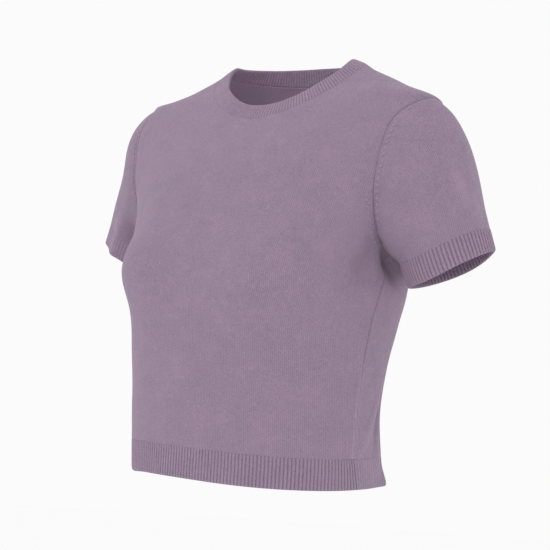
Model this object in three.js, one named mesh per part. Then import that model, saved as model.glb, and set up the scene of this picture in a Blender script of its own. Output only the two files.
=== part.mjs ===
import * as THREE from 'three';

// A knitted crop top, filled out as it hangs when worn, in millimetres.
// The origin is midway between the high points of the two shoulder seams. +Z is up,
// the front faces -Y, and the wearer's left side is at +X.

// Overall sizes
const bodyLength = 417;
const shoulderDrop = 34.5;
const underarmDrop = 185;
const wall = 1.8;
const seamGap = 0.3;
const longestMitre = 1.7 * wall;
const longestSetBack = 0.75;

// Ribbed trims
const hemRibHeight = 30;
const cuffHeight = 25;
const neckBandHeight = 19;
const hemRibPitch = 3.8;
const cuffRibPitch = 3.8;
const neckRibPitch = 3.4;
const ribRise = 0.9;

// Level sections of the body: half width across, depth in front of and behind the
// section's own centre, and how far that centre lies behind the shoulder line.
const bodySections = [
  { z: -bodyLength, halfWidth: 133, front: 107, back: 101, centre: -16.5 },
  { z: -384, halfWidth: 136, front: 105, back: 92, centre: -19.5 },
  { z: -346, halfWidth: 136, front: 106, back: 86.5, centre: -22.5 },
  { z: -303, halfWidth: 137.5, front: 111, back: 94, centre: -23 },
  { z: -261, halfWidth: 139.5, front: 117.5, back: 106.5, centre: -20 },
  { z: -227, halfWidth: 145, front: 122, back: 112.5, centre: -18 },
  { z: -194, halfWidth: 150, front: 118.5, back: 112, centre: -14 },
  { z: -161, halfWidth: 160, front: 111.5, back: 110, centre: -8.5 },
  { z: -128, halfWidth: 170, front: 103, back: 107, centre: -4.5 },
  { z: -95, halfWidth: 179, front: 88.5, back: 103.5, centre: -1 },
  { z: -68, halfWidth: 184, front: 70, back: 97, centre: 0 },
  { z: -shoulderDrop, halfWidth: 179.5, front: 46, back: 79, centre: 0 },
  { z: -shoulderDrop / 2, halfWidth: 131, front: 32, back: 67, centre: 1 },
  { z: 0, halfWidth: 93, front: 22, back: 46.5, centre: 1 },
  { z: 20, halfWidth: 60.5, front: 15, back: 30, centre: 1 },
];
const frontRoundness = 2.25;
const backRoundness = 2.3;

// The bust's fullness in the front, one on each side
const bust = { rise: 24, x: 84, z: -215.5, spreadX: 42, spreadZ: 45, sideways: 0.6 };

// Soft troughs and ridges, on both sides: at an angle round the body from the side line,
// negative towards the front, leaning from upright, and with their own width and length.
const softFolds = [
  { angle: -14, z: -196, lean: 12, width: 15, length: 34, rise: -5 },
  { angle: -33, z: -182, lean: 20, width: 13, length: 38, rise: 2 },
  { angle: 9, z: -350, lean: -38, width: 8, length: 30, rise: 2.5 },
  { angle: 22, z: -356, lean: -30, width: 9, length: 26, rise: -2 },
];
const foldRadius = 125;

// The hem hangs lower in front and a little lower at the sides.
const tiltStart = -280;
const hemTilt = { perMetreOfDepth: 32, perSquareMetreOfWidth: -163 };

// Seams
const sideSeamForward = { ribTop: 7, hem: 2.5 };
const neckHalfWidth = 93;
const frontNeck = { drop: 59, widthPower: 1.15, dropPower: 1.22, leanAtCentre: 57 };
const backNeck = { drop: 7, widthPower: 1, dropPower: 1, leanAtCentre: 76 };
const bandLeanAtShoulder = 27.5;
const armhole = { front: 53, back: 54.5, egg: 0.07 };

// The left cuff: its lower rim's centre, its lean outwards and its turn towards the back
const cuff = { x: 206.5, y: 7.3, z: -203, outward: 23.6, backward: 14, halfDepth: 42, halfWidth: 45.7 };
const sleeve = {
  tipSlope: 31,
  tipShareAtUnderarm: 0.35,
  pullAtUnderarm: 0.86,
  pullAtTip: 1.24,
  pullAtCuff: 0.4,
};
// The front of the sleeve head is a little fuller than a plain tube.
const sleeveHead = { rise: 4, turn: 135, spreadTurn: 42, along: 0.3, spreadAlong: 0.3 };

// How finely the surfaces are divided
const halfPanelColumns = 13;
const sideSeamRows = 9;
const armholeRows = 16;
const neckRows = 9;
const sleeveRows = 8;

const panelRows = sideSeamRows + armholeRows;
const ribTop = -bodyLength + hemRibHeight;
const up = new THREE.Vector3(0, 0, 1);
const radians = THREE.MathUtils.degToRad;
const clamp = THREE.MathUtils.clamp;

// A smooth curve of one column against z that never swings past its rows
function columnCurve(rows, column) {
  const steps = rows.slice(1).map((row, i) => row.z - rows[i].z);
  const slopes = rows.slice(1).map((row, i) => (row[column] - rows[i][column]) / steps[i]);
  const tangents = rows.map((row, i) => {
    if (i === 0) return slopes[0];
    if (i === rows.length - 1) return slopes[i - 1];
    if (slopes[i - 1] * slopes[i] <= 0) return 0;
    const before = 2 * steps[i] + steps[i - 1];
    const after = steps[i] + 2 * steps[i - 1];
    return (before + after) / (before / slopes[i - 1] + after / slopes[i]);
  });
  return (z) => {
    let i = rows.length - 2;
    while (i > 0 && rows[i].z > z) i -= 1;
    const t = (z - rows[i].z) / steps[i];
    return rows[i][column] * (1 + 2 * t) * (1 - t) ** 2
      + steps[i] * tangents[i] * t * (1 - t) ** 2
      + rows[i + 1][column] * t * t * (3 - 2 * t)
      + steps[i] * tangents[i + 1] * t * t * (t - 1);
  };
}

const halfWidthAt = columnCurve(bodySections, 'halfWidth');
const frontAt = columnCurve(bodySections, 'front');
const backAt = columnCurve(bodySections, 'back');
const centreAt = columnCurve(bodySections, 'centre');

function bell(distance, spread) {
  return Math.exp(-((distance / spread) ** 2));
}

function foldRise(angle, z) {
  const side = Math.cos(angle) < 0 ? Math.PI - angle : angle;
  const turn = Math.atan2(Math.sin(side), Math.cos(side));
  let rise = 0;
  for (const fold of softFolds) {
    const across = (turn - radians(fold.angle)) * foldRadius;
    const above = z - fold.z;
    const lean = radians(fold.lean);
    const sideways = across * Math.cos(lean) - above * Math.sin(lean);
    const along = across * Math.sin(lean) + above * Math.cos(lean);
    rise += fold.rise * bell(sideways, fold.width) * bell(along, fold.length);
  }
  return rise;
}

// A point of the body's outer face: the angle runs from the front centre, -90 degrees,
// by the left side, 0, to the back centre, 90 degrees.
function bodyPoint(angle, z) {
  const across = Math.cos(angle);
  const depthwise = Math.sin(angle);
  const inFront = depthwise < 0;
  const power = 2 / (inFront ? frontRoundness : backRoundness);
  const depth = inFront ? frontAt(z) : backAt(z);
  let x = halfWidthAt(z) * Math.sign(across) * Math.abs(across) ** power;
  let y = centreAt(z) + depth * Math.sign(depthwise) * Math.abs(depthwise) ** power;
  if (inFront) {
    const swell = bust.rise * bell(Math.abs(x) - bust.x, bust.spreadX) * bell(z - bust.z, bust.spreadZ);
    x += bust.sideways * swell * across * Math.abs(depthwise);
    y += swell * depthwise * Math.abs(depthwise);
  }
  const rise = foldRise(angle, z);
  x += rise * across;
  y += rise * depthwise;
  const tiltShare = clamp((tiltStart - z) / (tiltStart + bodyLength), 0, 1);
  const tilt = hemTilt.perMetreOfDepth * y / 1000 + hemTilt.perSquareMetreOfWidth * (x / 1000) ** 2;
  return new THREE.Vector3(x, y, z + tiltShare * tilt);
}

function bodyNormal(angle, z) {
  const reach = 0.02;
  const round = bodyPoint(angle + reach, z).sub(bodyPoint(angle - reach, z));
  const upwards = bodyPoint(angle, z + 1).sub(bodyPoint(angle, z - 1));
  return round.cross(upwards).normalize();
}

// The angle at which the body's section at z reaches a given x or y
function angleAtX(x, z, side) {
  const roundness = side < 0 ? frontRoundness : backRoundness;
  return side * Math.acos(clamp(x / halfWidthAt(z), 0, 1) ** (roundness / 2));
}

function angleAtY(y, z) {
  const fromCentre = y - centreAt(z);
  const inFront = fromCentre < 0;
  const depth = inFront ? frontAt(z) : backAt(z);
  const roundness = inFront ? frontRoundness : backRoundness;
  return Math.sign(fromCentre) * Math.asin(clamp(Math.abs(fromCentre) / depth, 0, 1) ** (roundness / 2));
}

// The seams on the body, as an angle and a height
function sideSeam(share) {
  const z = THREE.MathUtils.lerp(ribTop, -underarmDrop, share);
  return { angle: -radians(sideSeamForward.ribTop) * (1 - share), z };
}

function armholeSeam(turn) {
  const depth = turn <= Math.PI ? armhole.front : armhole.back;
  const middle = -(shoulderDrop + underarmDrop) / 2;
  const half = (underarmDrop - shoulderDrop) / 2;
  const z = middle - half * Math.cos(turn);
  const y = centreAt(z) - depth * Math.sin(turn) * (1 + armhole.egg * Math.cos(turn));
  return { angle: angleAtY(y, z), z };
}

function neckSeam(share, neck, side) {
  const turn = share * Math.PI / 2;
  const x = neckHalfWidth * Math.cos(turn) ** neck.widthPower;
  const z = -neck.drop * Math.sin(turn) ** neck.dropPower;
  return { angle: share >= 1 ? side * Math.PI / 2 : angleAtX(x, z, side), z };
}

function onBody(spot) {
  return bodyPoint(spot.angle, spot.z);
}

// What two walls share at a seam: the line their inner faces meet on, and how far each
// wall is set back from the seam so that the two end faces keep the gap.
function seamJoint(tangent, normalA, insideA, normalB, insideB) {
  const mitre = normalA.clone().add(normalB).normalize();
  const spread = mitre.dot(normalA);
  const depth = spread * longestMitre > wall ? wall / spread : longestMitre;
  const awayA = tangent.clone().cross(normalA).normalize();
  if (awayA.dot(insideA) < 0) awayA.negate();
  const awayB = tangent.clone().cross(normalB).normalize();
  if (awayB.dot(insideB) < 0) awayB.negate();
  const across = awayB.clone().sub(awayA).normalize();
  const setBack = Math.min(longestSetBack, seamGap / 2 / awayB.dot(across));
  return {
    inner: mitre.multiplyScalar(-depth),
    backA: awayA.multiplyScalar(setBack),
    backB: awayB.multiplyScalar(setBack),
  };
}

// The left sleeve's outer face
const cuffAxis = new THREE.Vector3(
  Math.sin(radians(cuff.outward)) * Math.cos(radians(cuff.backward)),
  Math.sin(radians(cuff.outward)) * Math.sin(radians(cuff.backward)),
  -Math.cos(radians(cuff.outward)),
);
const cuffOutward = new THREE.Vector3(
  Math.cos(radians(cuff.outward)) * Math.cos(radians(cuff.backward)),
  Math.cos(radians(cuff.outward)) * Math.sin(radians(cuff.backward)),
  Math.sin(radians(cuff.outward)),
);
const cuffBackward = cuffOutward.clone().cross(cuffAxis);
const tipDirection = new THREE.Vector3(
  Math.cos(radians(sleeve.tipSlope)),
  0,
  -Math.sin(radians(sleeve.tipSlope)),
);

function cuffPoint(turn, height) {
  return new THREE.Vector3(cuff.x, cuff.y, cuff.z)
    .addScaledVector(cuffOutward, -cuff.halfWidth * Math.cos(turn))
    .addScaledVector(cuffBackward, -cuff.halfDepth * Math.sin(turn))
    .addScaledVector(cuffAxis, -height);
}

function cuffNormal(turn) {
  return new THREE.Vector3()
    .addScaledVector(cuffOutward, -Math.cos(turn) / cuff.halfWidth)
    .addScaledVector(cuffBackward, -Math.sin(turn) / cuff.halfDepth)
    .normalize();
}

function sleevePoint(turn, along) {
  const start = onBody(armholeSeam(turn));
  const end = cuffPoint(turn, cuffHeight);
  const reach = start.distanceTo(end);
  const tipShare = (1 - Math.cos(turn)) / 2;
  const mix = THREE.MathUtils.lerp(sleeve.tipShareAtUnderarm, 1, tipShare);
  const leave = tipDirection.clone().multiplyScalar(mix).addScaledVector(cuffAxis, 1 - mix).normalize();
  const pull = THREE.MathUtils.lerp(sleeve.pullAtUnderarm, sleeve.pullAtTip, tipShare);
  const t = along;
  const point = start.multiplyScalar(2 * t ** 3 - 3 * t ** 2 + 1)
    .addScaledVector(leave, reach * pull * (t ** 3 - 2 * t ** 2 + t))
    .addScaledVector(end, 3 * t ** 2 - 2 * t ** 3)
    .addScaledVector(cuffAxis, reach * sleeve.pullAtCuff * (t ** 3 - t ** 2));
  const fullness = sleeveHead.rise * bell(turn - radians(sleeveHead.turn), radians(sleeveHead.spreadTurn))
    * bell(t - sleeveHead.along, sleeveHead.spreadAlong) * Math.sin(Math.PI * t);
  return point.addScaledVector(cuffNormal(turn), fullness);
}

function sleeveTangent(turn, along) {
  const step = 0.01;
  const ahead = sleevePoint(turn, Math.min(1, along + step));
  return ahead.sub(sleevePoint(turn, Math.max(0, along - step))).normalize();
}

function sleeveNormal(turn, along) {
  const step = 0.02;
  const round = sleevePoint(turn + step, along).sub(sleevePoint(turn - step, along));
  return sleeveTangent(turn, along).cross(round).normalize();
}

// Joints at the armhole, one for each step round it, shared by body and sleeve
const armholeSteps = 2 * armholeRows;
const fullTurn = 2 * Math.PI;
const justPastSeam = 0.02;

function armholeTurn(i) {
  return fullTurn * ((i + armholeSteps) % armholeSteps) / armholeSteps;
}

const armholeJoints = Array.from({ length: armholeSteps }, (unused, i) => {
  const spot = armholeSeam(armholeTurn(i));
  const point = onBody(spot);
  const tangent = onBody(armholeSeam(armholeTurn(i + 1))).sub(onBody(armholeSeam(armholeTurn(i - 1))));
  const armCentre = new THREE.Vector3(point.x, 0, -(shoulderDrop + underarmDrop) / 2);
  return {
    point,
    ...seamJoint(
      tangent.normalize(),
      bodyNormal(spot.angle, spot.z),
      point.clone().sub(armCentre),
      sleeveNormal(armholeTurn(i), justPastSeam),
      sleeveTangent(armholeTurn(i), justPastSeam),
    ),
  };
});

// Joints round the neck seam, from the left shoulder by the front, the right shoulder and
// the back to the left shoulder again
function neckSpot(i) {
  const quarter = Math.floor(i / neckRows) % 4;
  const share = (i % neckRows) / neckRows;
  const mirrored = quarter === 1 || quarter === 2;
  const front = quarter < 2;
  const fromShoulder = quarter % 2 === 0 ? share : 1 - share;
  const neck = front ? frontNeck : backNeck;
  const spot = neckSeam(fromShoulder, neck, front ? -1 : 1);
  const lean = THREE.MathUtils.lerp(bandLeanAtShoulder, neck.leanAtCentre, fromShoulder);
  const point = onBody(spot);
  const normal = bodyNormal(spot.angle, spot.z);
  if (fromShoulder === 1) {
    point.x = 0;
    normal.x = 0;
    normal.normalize();
  }
  if (mirrored) {
    point.x *= -1;
    normal.x *= -1;
  }
  const inward = new THREE.Vector3(-point.x, -point.y, 0).normalize();
  const rise = inward.multiplyScalar(Math.cos(radians(lean))).addScaledVector(up, Math.sin(radians(lean)));
  return { point, normal, rise };
}

const neckSteps = 4 * neckRows;
const neckJoints = Array.from({ length: neckSteps }, (unused, i) => {
  const spot = neckSpot(i);
  const tangent = neckSpot((i + 1) % neckSteps).point.sub(neckSpot((i + neckSteps - 1) % neckSteps).point);
  tangent.normalize();
  const bandNormal = spot.rise.clone().cross(tangent).normalize();
  if (bandNormal.dot(spot.normal) < 0) bandNormal.negate();
  const joint = seamJoint(tangent, spot.normal, spot.rise.clone().negate(), bandNormal, spot.rise);
  return { ...spot, bandNormal, ...joint };
});

// Closed bodies
function solid(name, positions, colour) {
  const geometry = new THREE.BufferGeometry();
  geometry.setAttribute('position', new THREE.Float32BufferAttribute(positions, 3));
  geometry.computeVertexNormals();
  const material = new THREE.MeshStandardMaterial({ color: colour, roughness: 0.95, metalness: 0 });
  const mesh = new THREE.Mesh(geometry, material);
  mesh.name = name;
  return mesh;
}

function signedVolume(triangles) {
  return triangles.reduce((sum, [a, b, c]) => sum + a.dot(b.clone().cross(c)) / 6, 0);
}

function facingOut(triangles) {
  const inward = signedVolume(triangles) < 0;
  return triangles.flatMap(([a, b, c]) => (inward ? [a, c, b] : [a, b, c]).flatMap((p) => [p.x, p.y, p.z]));
}

// A sheet of outer points with an inner point behind each, closed along its free edges
function thickSheet(faces, outer, inner) {
  const triangles = [];
  const edgeUses = new Map();
  for (const face of faces) {
    triangles.push(face.map((i) => outer[i]));
    triangles.push([inner[face[0]], inner[face[2]], inner[face[1]]]);
    face.forEach((from, k) => {
      const to = face[(k + 1) % 3];
      edgeUses.set(`${from},${to}`, [from, to]);
    });
  }
  for (const [from, to] of edgeUses.values()) {
    if (edgeUses.has(`${to},${from}`)) continue;
    triangles.push([outer[to], outer[from], inner[from]]);
    triangles.push([outer[to], inner[from], inner[to]]);
  }
  return facingOut(triangles);
}

// A ribbed wall: the outer rows have two points to each inner one. A ring closes on
// itself, and an open strip ends in plain faces.
function ribbedWall(outerRows, innerRows, ring) {
  const triangles = [];
  const innerCount = innerRows[0].length;
  const outerCount = outerRows[0].length;
  const spans = ring ? innerCount : innerCount - 1;
  const top = outerRows.length - 1;
  const outerAt = (row, i) => outerRows[row][i % outerCount];
  const innerAt = (row, i) => innerRows[row][i % innerCount];
  for (let row = 0; row < top; row += 1) {
    for (let i = 0; i < 2 * spans; i += 1) {
      triangles.push([outerAt(row, i), outerAt(row, i + 1), outerAt(row + 1, i + 1)]);
      triangles.push([outerAt(row, i), outerAt(row + 1, i + 1), outerAt(row + 1, i)]);
    }
    for (let i = 0; i < spans; i += 1) {
      triangles.push([innerAt(row, i + 1), innerAt(row, i), innerAt(row + 1, i)]);
      triangles.push([innerAt(row, i + 1), innerAt(row + 1, i), innerAt(row + 1, i + 1)]);
    }
  }
  for (const row of [0, top]) {
    for (let i = 0; i < spans; i += 1) {
      const rim = [
        [innerAt(row, i), outerAt(row, 2 * i + 1), outerAt(row, 2 * i)],
        [innerAt(row, i), innerAt(row, i + 1), outerAt(row, 2 * i + 1)],
        [innerAt(row, i + 1), outerAt(row, 2 * i + 2), outerAt(row, 2 * i + 1)],
      ];
      for (const [a, b, c] of rim) triangles.push(row === 0 ? [a, b, c] : [a, c, b]);
    }
  }
  if (!ring) {
    for (let row = 0; row < top; row += 1) {
      const ends = [[outerRows, innerRows, 0, 0], [innerRows, outerRows, innerCount - 1, outerCount - 1]];
      for (const [near, far, nearEnd, farEnd] of ends) {
        const a = near[row][nearEnd];
        const b = near[row + 1][nearEnd];
        const c = far[row + 1][farEnd];
        const d = far[row][farEnd];
        triangles.push([a, b, c], [a, c, d]);
      }
    }
  }
  return facingOut(triangles);
}

// Front and back bodies
function panel(name, side, colour) {
  const neck = side < 0 ? frontNeck : backNeck;
  const centreRows = panelRows - neckRows;
  const spots = [];
  for (let row = 0; row <= panelRows; row += 1) {
    const armTurn = Math.PI * (row - sideSeamRows) / armholeRows;
    const edge = row <= sideSeamRows
      ? sideSeam(row / sideSeamRows)
      : armholeSeam(side < 0 ? armTurn : fullTurn - armTurn);
    const centre = row <= centreRows
      ? { angle: side * Math.PI / 2, z: THREE.MathUtils.lerp(ribTop, -neck.drop, row / centreRows) }
      : neckSeam((panelRows - row) / neckRows, neck, side);
    spots.push(Array.from({ length: halfPanelColumns + 1 }, (unused, column) => {
      const share = column / halfPanelColumns;
      return {
        angle: THREE.MathUtils.lerp(edge.angle, centre.angle, share),
        z: THREE.MathUtils.lerp(edge.z, centre.z, share),
      };
    }));
  }
  const points = spots.map((row) => row.map(onBody));
  const halfOuter = [];
  const halfInner = [];
  const last = halfPanelColumns;
  for (let row = 0; row <= panelRows; row += 1) {
    for (let column = 0; column <= last; column += 1) {
      const spot = spots[row][column];
      const point = points[row][column].clone();
      const normal = bodyNormal(spot.angle, spot.z);
      const setBack = new THREE.Vector3();
      let inner = normal.clone().multiplyScalar(-wall);
      const awayFrom = (neighbour, along) => {
        const away = along.clone().cross(normal).normalize();
        if (away.dot(neighbour.clone().sub(points[row][column])) < 0) away.negate();
        return away.multiplyScalar(seamGap / 2);
      };
      const nextColumn = points[row][Math.min(last, column + 1)].clone();
      nextColumn.sub(points[row][Math.max(0, column - 1)]);
      if (row === 0) setBack.add(awayFrom(points[1][column], nextColumn));
      if (row === panelRows) setBack.add(awayFrom(points[panelRows - 1][column], nextColumn));
      if (column === 0 && row <= sideSeamRows) {
        const seamLine = points[Math.min(sideSeamRows, row + 1)][0].clone().sub(points[Math.max(0, row - 1)][0]);
        setBack.add(awayFrom(points[row][1], seamLine));
      }
      if (column === 0 && row >= sideSeamRows) {
        const i = side < 0 ? row - sideSeamRows : armholeSteps - (row - sideSeamRows);
        const joint = armholeJoints[i % armholeSteps];
        setBack.add(joint.backA);
        inner = joint.inner.clone();
      }
      if (column === last && row >= centreRows) {
        const fromShoulder = panelRows - row;
        const i = side < 0 ? fromShoulder : neckSteps - fromShoulder;
        const joint = neckJoints[i % neckSteps];
        setBack.add(joint.backA);
        inner = joint.inner.clone();
      }
      point.add(setBack);
      if (column === last && row <= centreRows) {
        point.x = 0;
        inner.x = 0;
      }
      halfOuter.push(point);
      halfInner.push(point.clone().add(inner));
    }
  }
  const mirror = (p) => new THREE.Vector3(-p.x, p.y, p.z);
  const count = halfOuter.length;
  const outer = [...halfOuter, ...halfOuter.map(mirror)];
  const inner = [...halfInner, ...halfInner.map(mirror)];
  const onCentreLine = (i) => i % (last + 1) === last && Math.floor(i / (last + 1)) <= centreRows;
  const twin = (i) => (onCentreLine(i) ? i : i + count);
  const faces = [];
  for (let row = 0; row < panelRows; row += 1) {
    for (let column = 0; column < last; column += 1) {
      const a = row * (last + 1) + column;
      const b = a + 1;
      const c = b + last + 1;
      const d = a + last + 1;
      faces.push([a, b, c], [a, c, d]);
      faces.push([twin(b), twin(a), twin(c)], [twin(c), twin(a), twin(d)]);
    }
  }
  return solid(name, thickSheet(faces, outer, inner), colour);
}

// Sleeves
function mirrored(points) {
  return points.map((p) => new THREE.Vector3(-p.x, p.y, p.z));
}

function sleeveSolid(name, left, colour) {
  const outer = [];
  const inner = [];
  for (let row = 0; row <= sleeveRows; row += 1) {
    for (let i = 0; i < armholeSteps; i += 1) {
      const turn = armholeTurn(i);
      const along = row / sleeveRows;
      const joint = armholeJoints[i];
      let point = sleevePoint(turn, along);
      let depth = sleeveNormal(turn, along).multiplyScalar(-wall);
      if (row === 0) {
        point = joint.point.clone().add(joint.backB);
        depth = joint.inner;
      }
      if (row === sleeveRows) {
        point.addScaledVector(cuffAxis, -seamGap / 2);
        depth = cuffNormal(turn).multiplyScalar(-wall);
      }
      outer.push(point);
      inner.push(point.clone().add(depth));
    }
  }
  const faces = [];
  for (let row = 0; row < sleeveRows; row += 1) {
    for (let i = 0; i < armholeSteps; i += 1) {
      const a = row * armholeSteps + i;
      const b = row * armholeSteps + (i + 1) % armholeSteps;
      const c = b + armholeSteps;
      const d = a + armholeSteps;
      faces.push([a, b, c], [a, c, d]);
    }
  }
  const sides = left ? [outer, inner] : [mirrored(outer), mirrored(inner)];
  return solid(name, thickSheet(faces, ...sides), colour);
}

function cuffSolid(name, left, colour) {
  const girth = Math.PI * (cuff.halfWidth + cuff.halfDepth);
  const ribs = Math.round(girth / cuffRibPitch);
  const heights = [0, cuffHeight - seamGap / 2];
  const ring = (count, height, depthAt) => Array.from({ length: count }, (unused, i) => {
    const turn = fullTurn * i / count;
    return cuffPoint(turn, height).addScaledVector(cuffNormal(turn), depthAt(i));
  });
  const flip = left ? (points) => points : mirrored;
  const outerRows = heights.map((height) => flip(ring(2 * ribs, height, (i) => (i % 2 ? ribRise : 0))));
  const innerRows = heights.map((height) => flip(ring(ribs, height, () => -wall)));
  return solid(name, ribbedWall(outerRows, innerRows, true), colour);
}

// The hem's ribs lie evenly along the edge, between the two side seams.
function hemRib(name, side, colour) {
  const levels = [
    { z: -bodyLength, forward: sideSeamForward.hem },
    { z: ribTop - seamGap / 2, forward: sideSeamForward.ribTop },
  ];
  const fineSteps = 400;
  const edges = levels.map(({ z, forward }) => {
    const start = -radians(forward);
    const sweep = side * Math.PI - 2 * start;
    const samples = Array.from({ length: fineSteps + 1 }, (unused, i) => start + sweep * i / fineSteps);
    const lengths = [0];
    for (let i = 1; i <= fineSteps; i += 1) {
      lengths.push(lengths[i - 1] + bodyPoint(samples[i], z).distanceTo(bodyPoint(samples[i - 1], z)));
    }
    const total = lengths[fineSteps];
    const angleAt = (share) => {
      const wanted = THREE.MathUtils.lerp(seamGap / 2, total - seamGap / 2, share);
      let i = 0;
      while (i < fineSteps - 1 && lengths[i + 1] < wanted) i += 1;
      const within = (wanted - lengths[i]) / (lengths[i + 1] - lengths[i]);
      return THREE.MathUtils.lerp(samples[i], samples[i + 1], within);
    };
    return { z, total, angleAt };
  });
  const ribs = Math.round(edges[0].total / hemRibPitch);
  const strip = (edge, count, depthAt) => Array.from({ length: count + 1 }, (unused, i) => {
    const angle = edge.angleAt(i / count);
    return bodyPoint(angle, edge.z).addScaledVector(bodyNormal(angle, edge.z), depthAt(i));
  });
  const outerRows = edges.map((edge) => strip(edge, 2 * ribs, (i) => (i % 2 ? ribRise : 0)));
  const innerRows = edges.map((edge) => strip(edge, ribs, () => -wall));
  return solid(name, ribbedWall(outerRows, innerRows, false), colour);
}

// The neck band stands on the neck seam and leans in over it.
function neckBand(name, colour) {
  const corners = neckJoints.map((joint) => ({
    foot: joint.point.clone().add(joint.backB),
    footInner: joint.inner,
    rim: joint.point.clone().addScaledVector(joint.rise, neckBandHeight),
    normal: joint.bandNormal,
  }));
  const sideLengths = corners.map((corner, i) => corner.foot.distanceTo(corners[(i + 1) % neckSteps].foot));
  const girth = sideLengths.reduce((sum, length) => sum + length, 0);
  const ribs = Math.round(girth / neckRibPitch);
  const at = (share) => {
    let wanted = share * girth;
    let i = 0;
    while (i < neckSteps - 1 && wanted > sideLengths[i]) {
      wanted -= sideLengths[i];
      i += 1;
    }
    const within = wanted / sideLengths[i];
    const from = corners[i];
    const to = corners[(i + 1) % neckSteps];
    return {
      foot: from.foot.clone().lerp(to.foot, within),
      footInner: from.footInner.clone().lerp(to.footInner, within),
      rim: from.rim.clone().lerp(to.rim, within),
      normal: from.normal.clone().lerp(to.normal, within).normalize(),
    };
  };
  const outerRows = [[], []];
  const innerRows = [[], []];
  for (let i = 0; i < 2 * ribs; i += 1) {
    const place = at(i / (2 * ribs));
    const rise = i % 2 ? ribRise : 0;
    outerRows[0].push(place.foot.clone().addScaledVector(place.footInner, -rise / wall));
    outerRows[1].push(place.rim.clone().addScaledVector(place.normal, rise));
    if (i % 2 === 0) {
      innerRows[0].push(place.foot.clone().add(place.footInner));
      innerRows[1].push(place.rim.clone().addScaledVector(place.normal, -wall));
    }
  }
  return solid(name, ribbedWall(outerRows, innerRows, true), colour);
}

const knitColour = '#968397';
const ribColour = '#8e7b90';

const cropTop = new THREE.Group();
cropTop.name = 'crop_top';
cropTop.add(
  panel('front_panel', -1, knitColour),
  panel('back_panel', 1, knitColour),
  sleeveSolid('sleeve_left', true, knitColour),
  sleeveSolid('sleeve_right', false, knitColour),
  neckBand('neck_band', ribColour),
  cuffSolid('cuff_left', true, ribColour),
  cuffSolid('cuff_right', false, ribColour),
  hemRib('hem_rib_front', -1, ribColour),
  hemRib('hem_rib_back', 1, ribColour),
);

export default cropTop;
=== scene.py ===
import math
from functools import partial

import bpy
import numpy as np
from mathutils import Matrix, Vector
from mathutils.kdtree import KDTree


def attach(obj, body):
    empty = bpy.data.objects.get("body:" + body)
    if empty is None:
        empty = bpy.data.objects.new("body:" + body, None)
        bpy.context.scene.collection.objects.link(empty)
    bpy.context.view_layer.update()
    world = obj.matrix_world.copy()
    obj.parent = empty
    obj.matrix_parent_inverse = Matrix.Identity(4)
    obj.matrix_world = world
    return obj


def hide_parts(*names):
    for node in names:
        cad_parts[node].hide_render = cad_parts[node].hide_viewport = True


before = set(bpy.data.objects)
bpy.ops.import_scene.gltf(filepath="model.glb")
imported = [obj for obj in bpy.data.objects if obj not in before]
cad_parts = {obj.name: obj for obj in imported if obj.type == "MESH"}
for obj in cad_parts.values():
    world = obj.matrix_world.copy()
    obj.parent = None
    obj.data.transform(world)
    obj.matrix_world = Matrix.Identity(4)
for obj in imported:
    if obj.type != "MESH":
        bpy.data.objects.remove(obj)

bl_info = {
    "name": "Knitted Crop Top",
    "version": (1, 0, 0),
    "blender": (4, 5, 0),
    "location": "3D View > Sidebar > Crop Top",
    "description": "Builds a ribbed, short-sleeved crop top that hangs open as it is worn, with its studio",
    "category": "Object",
}

# The shape's tables are in millimetres, as a maker would note them. Everything built is in metres.
MM = 0.001


def table_of(names, *values):
    """A table's rows, each value under its column's name. A row may leave out its last columns."""
    return [dict(zip(names.split(), row)) for row in values]



# Body
BODY_LENGTH = 417 * MM
SHOULDER_DROP = 34.5 * MM
UNDERARM_DROP = 185 * MM
HEM_RIB_HEIGHT = 30 * MM
RIB_TOP = HEM_RIB_HEIGHT - BODY_LENGTH

# Level sections: half width across, depth in front of and behind the section's centre, and
# how far that centre lies behind the shoulder line.
BODY_SECTIONS = table_of(
    "z half_width front back centre",
    (-417, 133, 107, 101, -16.5),
    (-384, 136, 105, 92, -19.5),
    (-346, 136, 106, 86.5, -22.5),
    (-303, 137.5, 111, 94, -23),
    (-261, 139.5, 117.5, 106.5, -20),
    (-227, 145, 122, 112.5, -18),
    (-194, 150, 118.5, 112, -14),
    (-161, 160, 111.5, 110, -8.5),
    (-128, 170, 103, 107, -4.5),
    (-95, 179, 88.5, 103.5, -1),
    (-68, 184, 70, 97, 0),
    (-34.5, 179.5, 46, 79, 0),
    (-17.25, 131, 32, 67, 1),
    (0, 93, 22, 46.5, 1),
    (20, 60.5, 15, 30, 1),
)
FRONT_ROUNDNESS = 2.25
BACK_ROUNDNESS = 2.3
BUST = dict(rise=24, x=84, z=-215.5, spread_x=42, spread_z=45, sideways=0.6)

# Troughs and ridges that both sides have: the angle is in degrees from the side line, negative
# towards the front, and the lean is from upright. The pale column is painted light in the colour:
# a painted highlight along a ridge where it is above zero, painted shade in a trough where it is below.
SIDE_FOLDS = table_of(
    "angle z lean width length rise pale",
    (-14, -196, 12, 15, 34, -5, -0.3),
    (-33, -182, 20, 13, 38, 2),
    (-1, -196, -38, 7, 21, -10, -0.8),
    (-22, -203, 68, 6, 30, -1.8),
    (6.5, -350, 31, 3.8, 30, 3.2, 0.9),
    (15.5, -354, 28, 7, 30, -3.4, -0.5),
)

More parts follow.
